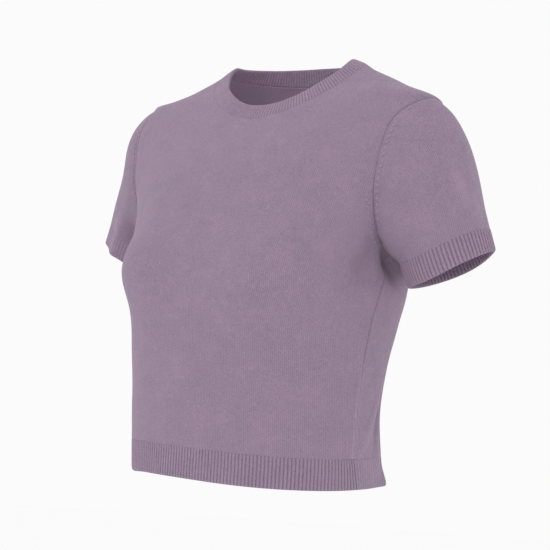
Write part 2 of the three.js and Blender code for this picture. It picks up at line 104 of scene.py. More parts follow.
# Softer ones that lie where they fall: from the left side line, 0, by the back centre, 90, to
# the right side line, 180, and back by the front centre, 270.
SOFT_CREASES = table_of(
    "angle z lean width length rise",
    (318, -300, 10, 30, 62, -1.1),
    (292, -338, -8, 24, 55, 0.8),
    (262, -318, 6, 30, 70, -0.9),
    (236, -350, -14, 22, 46, 0.8),
    (305, -120, -30, 26, 60, -0.8),
    (242, -112, 26, 24, 52, -0.7),
    (96, -342, 86, 11, 64, -2.0),
    (84, -318, 97, 10, 52, 1.4),
    (108, -300, 80, 12, 44, -1.3),
    (46, -214, -34, 12, 46, -1.9),
    (61, -250, -40, 14, 50, 1.3),
    (131, -206, 31, 11, 42, -1.7),
    (118, -246, 38, 15, 55, 1.2),
    (90, -92, 4, 40, 60, -1.2),
)
FOLD_RADIUS = 125 * MM

# Where the cloth has settled a few millimetres off its even shape: everything within reach of a
# place shifts with it, in x, y and z.
SETTLING = table_of(
    "x y z reach shift",
    (-140, -10, -26, 38, (0, 0, -2.6)),
    (-88, -10, -4, 30, (0, 0, -2.4)),
    (-194, -17, -60, 42, (-0.6, -0.4, 2.6)),
    (-168, -34, -66, 34, (-7.5, -6.0, 0)),
    (-160, -48, -115, 34, (-5.0, -4.0, 0)),
    (-204, -30, -115, 26, (2.6, 2.0, 0)),
    (-228, -22, -192, 26, (1.8, 1.4, 8.5)),
    (-200, -34, -205, 18, (0, 0, 3.5)),
    (208, 0, -66, 44, (-1.5, -1.1, -1.0)),
    (180, 24, -46, 22, (-3.6, -2.8, -0.8)),
    (-158, -27, -34, 24, (0, 0, -2.6)),
    (157, -33, -186, 14, (2.6, 2.1, 0)),
    (226, 0, -112, 28, (-2.2, -1.7, 0)),
    (240, 20, -160, 20, (1.4, 1.1, 0)),
    (242, 2, -150, 24, (1.6, 1.2, 0)),
    (202, -36, -197, 40, (0, 0, -8.0)),
    (238, 34, -186, 34, (-1.4, -1.1, 5.0)),
    (125, 44, -238, 44, (1.6, 1.2, 0)),
    (130, 20, -290, 40, (0.5, 0.4, 0)),
    (122, 36, -418, 15, (4.4, 3.5, 0)),
    (-97, -102, -418, 20, (-0.8, -0.6, -1.6)),
    (60, -105, -420, 75, (0, 0, -1.5)),
    (118, 12, -12, 24, (0.6, 0.4, 1.4)),
)

# The hem hangs lower in front and a little lower at the sides.
TILT_START = -280 * MM
HEM_TILT = dict(per_metre_of_depth=0.032, per_square_metre_of_width=-0.163)

# Seams
SIDE_SEAM_FORWARD = dict(rib_top=7, hem=2.5)
NECK_HALF_WIDTH = 93 * MM
FRONT_NECK = dict(drop=59, width_power=1.15, drop_power=1.22, lean_at_centre=57)
BACK_NECK = dict(drop=7, width_power=1, drop_power=1, lean_at_centre=76)
BAND_LEAN_AT_SHOULDER = 27.5
ARMHOLE = dict(front=53, front_on_right=46, back=54.5, egg=0.07)

# The left cuff's lower rim: its centre, its lean outwards and its turn towards the back
CUFF = dict(x=206.5, y=7.3, z=-203, outward=23.6, backward=14, half_depth=42, half_width=45.7)
SLEEVE = dict(tip_slope=31, tip_share_at_underarm=0.35, pull_at_underarm=0.86, pull_at_tip=1.24,
              pull_at_cuff=0.4)
SLEEVE_HEAD = dict(rise=4, turn=135, spread_turn=42, along=0.3, spread_along=0.3)

# Soft forms in the sleeves: turn 0 is the underarm, 90 the front, 180 the top and 270 the back.
# Their pale column is painted light in the colour: a painted highlight along a ridge where it is above zero,
# painted shade in a hollow where it is below.
SLEEVE_CREASES = table_of(
    "sides turn along spread_turn spread_along rise pale",
    ("both", 214, 0.62, 13, 0.34, 1.3),
    ("both", 188, 0.66, 12, 0.30, -0.8),
    ("right", 38, 0.50, 17, 0.34, -1.8),
    ("left", 36, 0.42, 18, 0.26, 3.0),
    ("both", 195, 0.08, 26, 0.10, 5),
    ("both", 72, 0.62, 16, 0.36, 1.1),
    ("both", 316, 0.46, 15, 0.30, -1.6),
    ("both", 286, 0.60, 16, 0.34, 1.0),
    ("left", 151, 0.62, 6, 0.13, 2.0, 0.5),
    ("left", 164, 0.80, 6, 0.13, 2.2, 0.5),
    ("left", 138, 0.64, 9, 0.24, -1.2),
    ("right", 104, 0.62, 8, 0.22, 1.2),
    ("right", 93, 0.84, 8, 0.18, 2.4, 0.45),
    ("right", 58, 0.66, 20, 0.30, -7.5, -0.4),
    ("right", 112, 0.16, 28, 0.16, 3.0),
)
CUFF_WAVES = table_of(
    "sides turn spread_turn rise",
    ("right", 103, 12, -1.6),
    ("right", 84, 9, 1.7),
    ("right", 58, 17, -3.0),
)

# How the panels are ruled: rows up the side seam, then round the armhole, with the last rows
# ending on the neck seam. Each kind of row is split into finer ones for the mesh.
PANEL_MESH = dict(side_rows=104, middle_rows=56, neck_rows=76, columns=88, seam_step=0.0035, neck_step=0.006)
SLEEVE_MESH = dict(around=220, rows=96, seam_step=0.004)
SIDE_SEAM_ROWS = 9
ARMHOLE_ROWS = 16
NECK_ROWS = 9
PANEL_ROWS = SIDE_SEAM_ROWS + ARMHOLE_ROWS
CENTRE_ROWS = PANEL_ROWS - NECK_ROWS
FULL_TURN = 2 * math.pi

# How far from a seam a wall's inner face bends into the corner with its neighbour, and how many
# wall thicknesses deep that corner may lie
CORNER_REACH = 3 * MM
MITRE_LIMIT = 1.7

# How deep cloth rolls in at each kind of seam, as shares of the seam depth, and how much of its
# depth the right armhole's seam keeps in front
SEAM_SHARES = dict(side=1.4, neck=0.45, shoulder=0.3, rib_join=0.35)
EASED_ARMHOLE = 0.5

# The same for an armhole seam, and where round it each part lies, in degrees from the underarm
ARMHOLE_ROLL = dict(plain=0.45, shoulder=0.9, shoulder_from=95, shoulder_to=130, tip_fade=0.9, tip_spread=22,
                    valley=0.25, valley_from=38, valley_to=78, valley_widening=0.8)

# The fine line pressed up along the side seam below the waist, in millimetres, and the shares of
# its height and of its painted light: a painted highlight along the line, and painted shade in
# the seam's groove above the waist
PRESSED_LINE = dict(start=-288, full=-326, off_seam=1.4, spread=2.0, behind=0.4, groove_fade=0.8, pale=0.6,
                    trough=0.5, trough_off=5.4, trough_spread=1.6)

# Where mesh rows gather by a seam so that it can roll in: distances in the seam's own spacing
EDGE_STEPS = np.array((0, 0.22, 0.48, 0.78, 1.15, 1.6, 2.2, 3.0))

# Whether a side is the right one: the left side comes first.
SIDES = (False, True)

# A stitch: the slant of its legs, the loops' own share of the relief, and how round a wale is
STITCH = dict(leg_slant=1.5, loop_share=0.28, roundness=2.4)

# The yarn's uneven colour: how wide each kind is, in millimetres, and its shares in hue and tone
MOTTLE = {
    "Cloud size": dict(size=24, hue=1.7, tone=0.10),
    "Fleck size": dict(size=6.5, hue=1.8, tone=0.08),
    "Grain size": dict(size=1.1, hue=0, tone=0.55),
}

# The camera stands where the photograph was taken. Its frame is 550 pixels each way.
PHOTO_SIZE = 550
CAMERA_VIEW = dict(azimuth=38.75, elevation=-2.8, distance=1.7825, roll=3.99, focal_pixels=1721.8,
                   centre_x=280.4, centre_y=267.5, target=(0, 0, -0.205), sensor=36)


def column_curve(column):
    """A smooth curve of one column of the body sections that never swings past its rows."""
    height = np.array([row["z"] for row in BODY_SECTIONS]) * MM
    value = np.array([row[column] for row in BODY_SECTIONS]) * MM
    step = np.diff(height)
    slope = np.diff(value) / step
    tangent = np.concatenate([slope[:1], np.zeros(len(slope) - 1), slope[-1:]])
    before = 2 * step[1:] + step[:-1]
    after = step[1:] + 2 * step[:-1]
    for i in range(len(slope) - 1):
        if slope[i] * slope[i + 1] > 0:
            tangent[i + 1] = (before[i] + after[i]) / (before[i] / slope[i] + after[i] / slope[i + 1])

    def at(z):
        i = np.clip(np.searchsorted(height, z) - 1, 0, len(step) - 1)
        t = (z - height[i]) / step[i]
        return (value[i] * (1 + 2 * t) * (1 - t) ** 2 + step[i] * tangent[i] * t * (1 - t) ** 2
                + value[i + 1] * t * t * (3 - 2 * t) + step[i] * tangent[i + 1] * t * t * (t - 1))

    return at


half_width_at = column_curve("half_width")
front_at = column_curve("front")
back_at = column_curve("back")
centre_at = column_curve("centre")


def bell(distance, spread):
    return np.exp(-(distance / spread) ** 2)


def blend(a, b, share):
    return a + (b - a) * share


def smooth_step(start, end, value):
    t = np.clip((value - start) / (end - start), 0, 1)
    return t * t * (3 - 2 * t)


def unit(vectors):
    return vectors / np.linalg.norm(vectors, axis=-1, keepdims=True)


def dot(a, b):
    return (a * b).sum(axis=-1, keepdims=True)


def turned(angle):
    """An angle brought between minus and plus half a turn."""
    return (angle + math.pi) % FULL_TURN - math.pi


def folds_of(angle, z, value):
    """The sum of one value of the body's folds and creases, each fading out from its middle."""
    from_side = turned(np.where(np.cos(angle) < 0, math.pi - angle, angle))
    total = np.zeros(np.broadcast(angle, z).shape)
    for folds, place in ((SIDE_FOLDS, from_side), (SOFT_CREASES, angle)):
        for fold in folds:
            if value not in fold:
                continue
            across = turned(place - math.radians(fold["angle"])) * FOLD_RADIUS
            above = z - fold["z"] * MM
            lean = math.radians(fold["lean"])
            sideways = across * math.cos(lean) - above * math.sin(lean)
            along = across * math.sin(lean) + above * math.cos(lean)
            total += fold[value] * bell(sideways, fold["width"] * MM) * bell(along, fold["length"] * MM)
    return total


def body_point(angle, z):
    """A point of the body's outer face: the angle runs from the front centre, -90 degrees, by
    the left side, 0, to the back centre, 90 degrees, and on to the right side, 180 degrees."""
    across, depthwise = np.cos(angle), np.sin(angle)
    in_front = depthwise < 0
    power = np.where(in_front, 2 / FRONT_ROUNDNESS, 2 / BACK_ROUNDNESS)
    depth = np.where(in_front, front_at(z), back_at(z))
    x = half_width_at(z) * np.sign(across) * np.abs(across) ** power
    y = centre_at(z) + depth * np.sign(depthwise) * np.abs(depthwise) ** power
    swell = np.where(in_front, BUST["rise"] * MM * bell(np.abs(x) - BUST["x"] * MM, BUST["spread_x"] * MM)
                     * bell(z - BUST["z"] * MM, BUST["spread_z"] * MM), 0)
    rise = folds_of(angle, z, "rise") * MM
    x = x + BUST["sideways"] * swell * across * np.abs(depthwise) + rise * across
    y = y + swell * depthwise * np.abs(depthwise) + rise * depthwise
    tilt_share = np.clip((TILT_START - z) / (TILT_START + BODY_LENGTH), 0, 1)
    tilt = HEM_TILT["per_metre_of_depth"] * y + HEM_TILT["per_square_metre_of_width"] * x ** 2
    return np.stack(np.broadcast_arrays(x, y, z + tilt_share * tilt), axis=-1)


def settled(points):
    moved = np.array(points, float)
    for push in SETTLING:
        middle = np.array((push["x"], push["y"], push["z"])) * MM
        share = bell(np.linalg.norm(points - middle, axis=-1), push["reach"] * MM)
        moved += share[..., None] * np.array(push["shift"]) * MM
    return moved


def body_normal(angle, z):
    reach = 0.02
    around = body_point(angle + reach, z) - body_point(angle - reach, z)
    upwards = body_point(angle, z + MM) - body_point(angle, z - MM)
    return unit(np.cross(around, upwards))


def side_seam(share):
    """The left side seam, from the top of the hem rib to the underarm, as angles and heights."""
    return -math.radians(SIDE_SEAM_FORWARD["rib_top"]) * (1 - share), blend(RIB_TOP, -UNDERARM_DROP, share)


def armhole_seam(turn, right):
    """An armhole seam on the left side's scheme: turn 0 is the underarm, a quarter turn the front
    and a half turn the shoulder."""
    front = ARMHOLE["front_on_right" if right else "front"]
    depth = np.where(turn <= math.pi, front, ARMHOLE["back"]) * MM
    z = -(SHOULDER_DROP + UNDERARM_DROP) / 2 - (UNDERARM_DROP - SHOULDER_DROP) / 2 * np.cos(turn)
    from_centre = -depth * np.sin(turn) * (1 + ARMHOLE["egg"] * np.cos(turn))
    in_front = from_centre < 0
    reach = np.where(in_front, front_at(z), back_at(z))
    roundness = np.where(in_front, FRONT_ROUNDNESS, BACK_ROUNDNESS)
    angle = np.arcsin(np.clip(np.abs(from_centre) / reach, 0, 1) ** (roundness / 2))
    return np.sign(from_centre) * angle, z


def neck_seam(share, neck, side):
    """The left half of the neck seam, from the shoulder to the centre."""
    turn = share * math.pi / 2
    x = NECK_HALF_WIDTH * np.cos(turn) ** neck["width_power"]
    z = -neck["drop"] * MM * np.sin(turn) ** neck["drop_power"]
    roundness = FRONT_ROUNDNESS if side < 0 else BACK_ROUNDNESS
    angle = np.arccos(np.clip(x / half_width_at(z), 0, 1) ** (roundness / 2))
    return side * np.where(share >= 1, math.pi / 2, angle), z


def on_side(angle, right):
    """The angle itself, or its twin on the right half of the body."""
    return math.pi - angle if right else angle


def flipped(points, right):
    return points * (-1, 1, 1) if right else points


# The left sleeve and cuff, which the right ones mirror
LEAN_OUT = math.radians(CUFF["outward"])
TURN_BACK = math.radians(CUFF["backward"])
CUFF_AXIS = np.array((math.sin(LEAN_OUT) * math.cos(TURN_BACK), math.sin(LEAN_OUT) * math.sin(TURN_BACK),
                      -math.cos(LEAN_OUT)))
CUFF_OUTWARD = np.array((math.cos(LEAN_OUT) * math.cos(TURN_BACK), math.cos(LEAN_OUT) * math.sin(TURN_BACK),
                         math.sin(LEAN_OUT)))
CUFF_BACKWARD = np.cross(CUFF_OUTWARD, CUFF_AXIS)
TIP_DIRECTION = np.array((math.cos(math.radians(SLEEVE["tip_slope"])), 0,
                          -math.sin(math.radians(SLEEVE["tip_slope"]))))
CUFF_HEIGHT = 25 * MM


def shown_on(form, right):
    return form["sides"] in ("both", "right" if right else "left")


def cuff_normal(turn):
    out = -np.cos(turn)[..., None] / CUFF["half_width"] * CUFF_OUTWARD
    back = -np.sin(turn)[..., None] / CUFF["half_depth"] * CUFF_BACKWARD
    return unit(out + back)


def cuff_point(turn, height, right):
    centre = np.array((CUFF["x"], CUFF["y"], CUFF["z"])) * MM
    out = -np.cos(turn)[..., None] * CUFF["half_width"] * MM * CUFF_OUTWARD
    back = -np.sin(turn)[..., None] * CUFF["half_depth"] * MM * CUFF_BACKWARD
    wave = np.zeros(np.shape(turn))
    for form in CUFF_WAVES:
        if shown_on(form, right):
            wave += form["rise"] * MM * bell(turned(turn - math.radians(form["turn"])),
                                             math.radians(form["spread_turn"]))
    height = np.asarray(height)[..., None]
    return centre + out + back + wave[..., None] * cuff_normal(turn) - height * CUFF_AXIS


def sleeve_point(turn, along, right):
    """A point of the sleeve's outer face on the left side's scheme, from the armhole to the cuff."""
    angle, z = armhole_seam(turn, right)
    start = flipped(body_point(on_side(angle, right), z), right)
    end = cuff_point(turn, CUFF_HEIGHT, right)
    reach = np.linalg.norm(start - end, axis=-1, keepdims=True)
    tip_share = ((1 - np.cos(turn)) / 2)[..., None]
    mix = blend(SLEEVE["tip_share_at_underarm"], 1, tip_share)
    leave = unit(TIP_DIRECTION * mix + CUFF_AXIS * (1 - mix))
    pull = blend(SLEEVE["pull_at_underarm"], SLEEVE["pull_at_tip"], tip_share)
    t = along[..., None]
    arrive = CUFF_AXIS * reach * SLEEVE["pull_at_cuff"]
    point = (start * (2 * t ** 3 - 3 * t ** 2 + 1) + leave * reach * pull * (t ** 3 - 2 * t ** 2 + t)
             + end * (3 * t ** 2 - 2 * t ** 3) + arrive * (t ** 3 - t ** 2))
    head = SLEEVE_HEAD
    rise = (head["rise"] * bell(turn - math.radians(head["turn"]), math.radians(head["spread_turn"]))
            * bell(along - head["along"], head["spread_along"]))
    rise = (rise + sleeve_creases(turn, along, right, "rise")) * MM * np.sin(math.pi * along)
    return point + rise[..., None] * cuff_normal(turn)


def sleeve_creases(turn, along, right, value):
    """The sum of one value of the sleeve's soft forms, each fading out from its middle."""
    total = np.zeros(np.broadcast(turn, along).shape)
    for form in SLEEVE_CREASES:
        if shown_on(form, right) and value in form:
            off_turn = turned(turn - math.radians(form["turn"]))
            total += (form[value] * bell(off_turn, math.radians(form["spread_turn"]))
                      * bell(along - form["along"], form["spread_along"]))
    return total


def sleeve_tangent(turn, along, right):
    step = 0.01
    ahead = sleeve_point(turn, np.minimum(1, along + step), right)
    return unit(ahead - sleeve_point(turn, np.maximum(0, along - step), right))


def sleeve_normal(turn, along, right):
    step = 0.02
    around = sleeve_point(turn + step, along, right) - sleeve_point(turn - step, along, right)
    return unit(np.cross(sleeve_tangent(turn, along, right), around))


def mitre(normal_a, normal_b, wall):
    """From the seam's outer line to the line where the two walls' inner faces meet."""
    middle = unit(normal_a + normal_b)
    return -middle * np.minimum(wall / dot(middle, normal_a), MITRE_LIMIT * wall)


def armhole_line(turn, right, wall):
    """Points, sleeve normals and inner corners along the armhole seam, on the left side's scheme."""
    angle, z = armhole_seam(turn, right)
    point = flipped(body_point(on_side(angle, right), z), right)
    body_side = flipped(body_normal(on_side(angle, right), z), right)
    just_past = np.full_like(turn, 0.02)
    sleeve_side = sleeve_normal(turn, just_past, right)
    return dict(point=point, normal=sleeve_side, inner=mitre(body_side, sleeve_side, wall))


def neck_line(wall):
    """Points all round the neck seam, closely spaced, with what the band needs at each: from the
    left shoulder by the front, the right shoulder and the back to the left shoulder again."""
    steps = 400
    softened = 60
    parts = []
    for right, neck, side in ((False, FRONT_NECK, -1), (True, FRONT_NECK, -1),
                              (True, BACK_NECK, 1), (False, BACK_NECK, 1)):
        share = np.arange(steps) / steps
        from_shoulder = share if right == (side > 0) else 1 - share
        angle, z = neck_seam(from_shoulder, neck, side)
        angle = on_side(angle, right)
        parts.append((body_point(angle, z), body_normal(angle, z),
                      blend(BAND_LEAN_AT_SHOULDER, neck["lean_at_centre"], from_shoulder)))
    point, normal, lean = (np.concatenate(column) for column in zip(*parts))
    softening = np.hanning(2 * softened + 1)
    wrapped = np.concatenate([lean[-softened:], lean, lean[:softened]])
    lean = np.radians(np.convolve(wrapped, softening / softening.sum(), mode="valid"))[:, None]
    inward = unit(-point * (1, 1, 0))
    rise = inward * np.cos(lean) + np.array((0, 0, 1)) * np.sin(lean)
    tangent = unit(np.roll(point, -1, axis=0) - np.roll(point, 1, axis=0))
    band_normal = unit(np.cross(rise, tangent))
    band_normal = band_normal * np.sign(dot(band_normal, normal))
    return dict(point=point, normal=normal, rise=rise, band_normal=band_normal,
                inner=mitre(normal, band_normal, wall))


def lengths_along(points, closed=False):
    """The distance from the first point to each one, and round to the first again if closed."""
    if closed:
        points = np.concatenate([points, points[:1]])
    steps = np.linalg.norm(np.diff(points, axis=0), axis=-1)
    return np.concatenate([[0], np.cumsum(steps)])


def sampled(line, shares):
    """A closed line's columns read at shares of its length."""
    lengths = lengths_along(line["point"], closed=True)
    wanted = np.asarray(shares) * lengths[-1]
    result = {}
    for name, column in line.items():
        around = np.concatenate([column, column[:1]])
        result[name] = np.stack([np.interp(wanted, lengths, around[:, k]) for k in range(3)], axis=-1)
    for name in ("normal", "band_normal", "rise"):
        if name in result:
            result[name] = unit(result[name])
    return result


def nearest_on(points, line):
    """For each point, the number of the nearest place of a closely spaced line, and its distance."""
    tree = KDTree(len(line))
    for i, place in enumerate(line):
        tree.insert(place, i)
    tree.balance()
    found = [tree.find(point)[1:] for point in points]
    return np.array([place for place, gap in found]), np.array([gap for place, gap in found])


def seam_roll(points, line, depth, width):
    """How deep cloth rolls in towards a seam, whose depth and width may vary along it."""
    place, gap = nearest_on(points, line)
    return np.broadcast_to(depth, len(line))[place] * bell(gap, np.broadcast_to(width, len(line))[place])


# Meshes
def signed_volume(vertices, quads):
    a, b, c, d = (vertices[quads[:, k]] for k in range(4))
    return ((a * np.cross(b, c)).sum() + (a * np.cross(c, d)).sum()) / 6


def linked(name, data):
    """A new object of the scene."""
    thing = bpy.data.objects.new(name, data)
    bpy.context.scene.collection.objects.link(thing)
    return thing


def make_piece(name, vertices, quads, extra_faces, uv, shade, material):
    """A smooth mesh object whose faces point outwards, with its UV map and its painted shade."""
    vertices = settled(vertices)
    if signed_volume(vertices, quads) < 0:
        quads = quads[:, ::-1]
        extra_faces = [face[::-1] for face in extra_faces]
    mesh = bpy.data.meshes.new(name)
    mesh.from_pydata(vertices.tolist(), [], quads.tolist() + [list(map(int, face)) for face in extra_faces])
    mesh.shade_smooth()
    corners = np.empty(len(mesh.loops), np.int32)
    mesh.loops.foreach_get("vertex_index", corners)
    layer = mesh.uv_layers.new(name="cloth")
    layer.uv.foreach_set("vector", uv[corners].astype(np.float32).ravel())
    mesh.attributes.new("shade", "FLOAT", "POINT").data.foreach_set("value", shade.astype(np.float32))
    mesh.materials.append(material)
    return linked(name, mesh)


def sheet_quads(rows, columns, ring=False):
    """The faces of a grid of points, as rows of four point numbers."""
    row, here = np.meshgrid(np.arange(rows - 1), np.arange(columns if ring else columns - 1), indexing="ij")
    beside = (here + 1) % columns
    start, end = row * columns, (row + 1) * columns
    return np.stack([q.ravel() for q in (start + here, start + beside, end + beside, end + here)], axis=-1)


def make_wall(name, quads, outer, inner, uv, shade, material):
    """A wall from its two faces, closed along the sheet's free edges. Only the outer face gets painted shade.
    """
    count = len(outer)
    edges = np.stack([quads, np.roll(quads, -1, axis=1)], axis=-1).reshape(-1, 2)
    codes = edges[:, 0] * count + edges[:, 1]
    free = edges[~np.isin(codes, edges[:, 1] * count + edges[:, 0])]
    rim = np.stack([free[:, 1], free[:, 0], free[:, 0] + count, free[:, 1] + count], axis=-1)
    faces = np.concatenate([quads, quads[:, ::-1] + count, rim])
    return make_piece(name, np.concatenate([outer, inner]), faces, [], np.concatenate([uv, uv]),
                      np.concatenate([shade, shade * 0]), material)


def edge_steps(count, near_edge, far_edge):
    """Shares from 0 to 1, close together by the edges so that a seam can roll in there."""
    first = EDGE_STEPS * near_edge
    last = 1 - (EDGE_STEPS * far_edge)[::-1]
    middle = np.linspace(first[-1], last[0], count - 2 * len(EDGE_STEPS) + 2)[1:-1]
    return np.unique(np.round(np.concatenate([first, middle, last]), 6))


def finish_piece(piece, slot, *nodes):
    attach(piece, "root")
    if nodes:
        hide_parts(*nodes)


# Front and back bodies
def panel_spots(side, rows, columns, right):
    """Angles and heights of half a panel on the left side's scheme, ruled from its outer edge to
    its centre."""
    neck = FRONT_NECK if side < 0 else BACK_NECK
    arm_turn = math.pi * np.clip(rows - SIDE_SEAM_ROWS, 0, ARMHOLE_ROWS) / ARMHOLE_ROWS
    on_seam = side_seam(np.clip(rows / SIDE_SEAM_ROWS, 0, 1))
    on_armhole = armhole_seam(arm_turn if side < 0 else FULL_TURN - arm_turn, right)
    by_seam = rows <= SIDE_SEAM_ROWS
    on_neck = neck_seam(np.clip((PANEL_ROWS - rows) / NECK_ROWS, 0, 1), neck, side)
    centre_height = blend(RIB_TOP, -neck["drop"] * MM, np.clip(rows / CENTRE_ROWS, 0, 1))
    by_centre = rows <= CENTRE_ROWS
    on_centre = (side * math.pi / 2, centre_height)
    edge = (np.where(by_seam, low, high) for low, high in zip(on_seam, on_armhole))
    centre = (np.where(by_centre, low, high) for low, high in zip(on_centre, on_neck))
    return tuple(blend(e[:, None], c[:, None], columns) for e, c in zip(edge, centre))


def panel_grid(side):
    """The rows of a panel's mesh, and both halves' angles and heights."""
    fine = PANEL_MESH
    lower = edge_steps(fine["side_rows"], fine["seam_step"], 0) * SIDE_SEAM_ROWS
    middle = np.linspace(SIDE_SEAM_ROWS, CENTRE_ROWS, fine["middle_rows"])
    top = CENTRE_ROWS + (1 - edge_steps(fine["neck_rows"], fine["neck_step"], 0)) * NECK_ROWS
    rows = np.unique(np.round(np.concatenate([lower, middle, top]), 6))
    columns = edge_steps(fine["columns"], fine["seam_step"], fine["seam_step"])
    angles, heights = zip(*(panel_spots(side, rows, columns, right) for right in SIDES))
    return rows, [on_side(angle, right) for angle, right in zip(angles, SIDES)], heights


def joined_halves(shape, joined):
    """The faces of two halves with one centre column where they are joined, and the points used."""
    number = np.arange(shape[0] * shape[1]).reshape(shape)
    twin = number.ravel() + number.size
    twin[number[joined, -1]] = number[joined, -1]
    left_quads = sheet_quads(*shape)
    used, quads = np.unique(np.concatenate([left_quads, twin[left_quads][:, ::-1]]), return_inverse=True)
    return quads.reshape(-1, 4), used


def inner_ways(point, normal, rows, shape, side, sizes):
    """From a panel's outer face to its inner one, which ends in the corner that it makes with the
    sleeve or the neck band."""
    ways = -normal * sizes.wall
    turns = math.pi * np.clip(rows - SIDE_SEAM_ROWS, 0, ARMHOLE_ROWS) / ARMHOLE_ROWS
    turns = turns if side < 0 else FULL_TURN - turns
    bent = 4
    for right in SIDES:
        corner = flipped(armhole_line(turns, right, sizes.wall)["inner"], right)
        edge = np.arange(shape[0]) * shape[1] + (shape[0] * shape[1] if right else 0)
        for k in range(bent):
            weight = (1 - k / bent) * (rows >= SIDE_SEAM_ROWS)
            ways[edge + k] += (corner - ways[edge + k]) * weight[:, None]
    line = neck_line(sizes.wall)
    place, gap = nearest_on(point, line["point"])
    weight = np.clip(1 - gap / CORNER_REACH, 0, 1)[:, None]
    return ways + (line["inner"][place] - ways) * weight


def panel(name, side, sizes, material):
    """The front body, side -1, or the back body, side 1, from two halves joined below the neck"""
    rows, angles, heights = panel_grid(side)
    shape = angles[0].shape
    angle, z = (np.concatenate([half.ravel() for half in halves]) for halves in (angles, heights))
    point = body_point(angle, z)
    normal = body_normal(angle, z)
    sink, pressed_and_painted_light = panel_seams(point, z, side, sizes)
    outer = point - normal * sink[:, None]
    inner = point + inner_ways(point, normal, rows, shape, side, sizes)
    # Painted light: highlights along the raised seam line and ridges, painted shade in the seam groove and
    # troughs.
    shade = -pressed_and_painted_light - folds_of(angle, z, "pale")
    uv = np.stack([arc_from_centre(angle, z, side), z], axis=-1)
    quads, used = joined_halves(shape, rows <= CENTRE_ROWS + 1e-6)
    return make_wall(name, quads, outer[used], inner[used], uv[used], shade[used], material)


def armhole_roll(off_underarm, sizes):
    """How deep and how wide the cloth rolls in at an armhole seam: crisp round the front and back
    of the shoulder, faint on its tip, and a soft shallow valley towards the underarm."""
    roll = ARMHOLE_ROLL
    off = np.degrees(off_underarm)
    shoulder = smooth_step(roll["shoulder_from"], roll["shoulder_to"], off)
    tip = bell(off - 180, roll["tip_spread"])
    valley = 1 - smooth_step(roll["valley_from"], roll["valley_to"], off)
    depth = roll["plain"] + roll["shoulder"] * shoulder - roll["valley"] * valley
    return (sizes.seam_depth * depth * (1 - roll["tip_fade"] * tip),
            sizes.seam_width * (1 + roll["valley_widening"] * valley))


def panel_seams(point, z, side, sizes):
    """How far a panel's outer face is drawn in at its seams, and the painted highlight and shade along its
    side seam.
    """
    in_front = side < 0
    neck = FRONT_NECK if in_front else BACK_NECK
    shares = np.linspace(0, 1, 700)
    turns = np.linspace(0, math.pi, 500)
    depth, width = armhole_roll(turns, sizes)
    sink = np.zeros(len(point))

    def draw_in(angle, height, depth, width=sizes.seam_width):
        sink[:] += seam_roll(point, body_point(angle, height), depth, width)

    for right in SIDES:
        angle, height = armhole_seam(turns if in_front else FULL_TURN - turns, right)
        draw_in(on_side(angle, right), height, depth * (EASED_ARMHOLE if right and in_front else 1), width)
        angle, height = neck_seam(shares, neck, side)
        # In front, the neck seam's groove begins only below the shoulders.
        begun = smooth_step(0.25, 0.5, shares) if in_front else 1
        draw_in(on_side(angle, right), height, SEAM_SHARES["neck"] * sizes.seam_depth * begun)
        height = blend(-SHOULDER_DROP, 0, shares)
        draw_in(on_side(0 * shares, right), height, SEAM_SHARES["shoulder"] * sizes.seam_depth)
    forward = -math.radians(SIDE_SEAM_FORWARD["rib_top"])
    angle = forward + (side * math.pi - 2 * forward) * np.linspace(0, 1, 1400)
    draw_in(angle, np.full_like(angle, RIB_TOP), SEAM_SHARES["rib_join"] * sizes.seam_depth)

    # Below the waist the side seam's groove gives way to a fine line pressed up along it.
    angle, height = side_seam(shares)
    line = np.concatenate([body_point(on_side(angle, right), height) for right in SIDES])
    off_seam = nearest_on(point, line)[1]
    crease = PRESSED_LINE
    low = smooth_step(crease["start"] * MM, crease["full"] * MM, z)
    groove = SEAM_SHARES["side"] * sizes.seam_depth * (1 - crease["groove_fade"] * low)
    sink += groove * bell(off_seam, sizes.seam_width)
    # The raised line gets a painted highlight as well as its height.
    pressed_and_painted_light = low * bell(off_seam - crease["off_seam"] * MM, crease["spread"] * MM)
    pressed_and_painted_light = pressed_and_painted_light * (1 if in_front else crease["behind"])
    sink -= sizes.side_seam_rise * pressed_and_painted_light
    if in_front:
        trough = bell(off_seam - crease["trough_off"] * MM, crease["trough_spread"] * MM)
        sink += crease["trough"] * sizes.side_seam_rise * low * trough
    # Above the waist the seam's groove gets painted shade.
    painted_seam_shade = (1 - low) * bell(off_seam, 0.6 * sizes.seam_width)
    return sink, crease["pale"] * (pressed_and_painted_light - painted_seam_shade)


def arc_from_centre(angle, z, side):
    """Cloth measured round the body from the front or back centre, for the stitches to follow."""
    heights = np.linspace(-BODY_LENGTH, 5 * MM, 60)
    sweep = np.linspace(-math.pi * 0.62, math.pi * 0.62, 241)
    centre = side * math.pi / 2
    arcs = (body_point(centre + sweep, np.full_like(sweep, height)) for height in heights)
    table = np.array([lengths_along(arc) for arc in arcs])
    table -= table[:, len(sweep) // 2, None]

    def cell(value, steps):
        """The place of a value among even steps, short of the last one."""
        return np.clip((value - steps[0]) / (steps[1] - steps[0]), 0, len(steps) - 1.001)

    row, column = cell(z, heights), cell(turned(angle - centre), sweep)
    i, j = row.astype(int), column.astype(int)
    s, t = row - i, column - j
    return ((1 - s) * (1 - t) * table[i, j] + (1 - s) * t * table[i, j + 1]
            + s * (1 - t) * table[i + 1, j] + s * t * table[i + 1, j + 1])


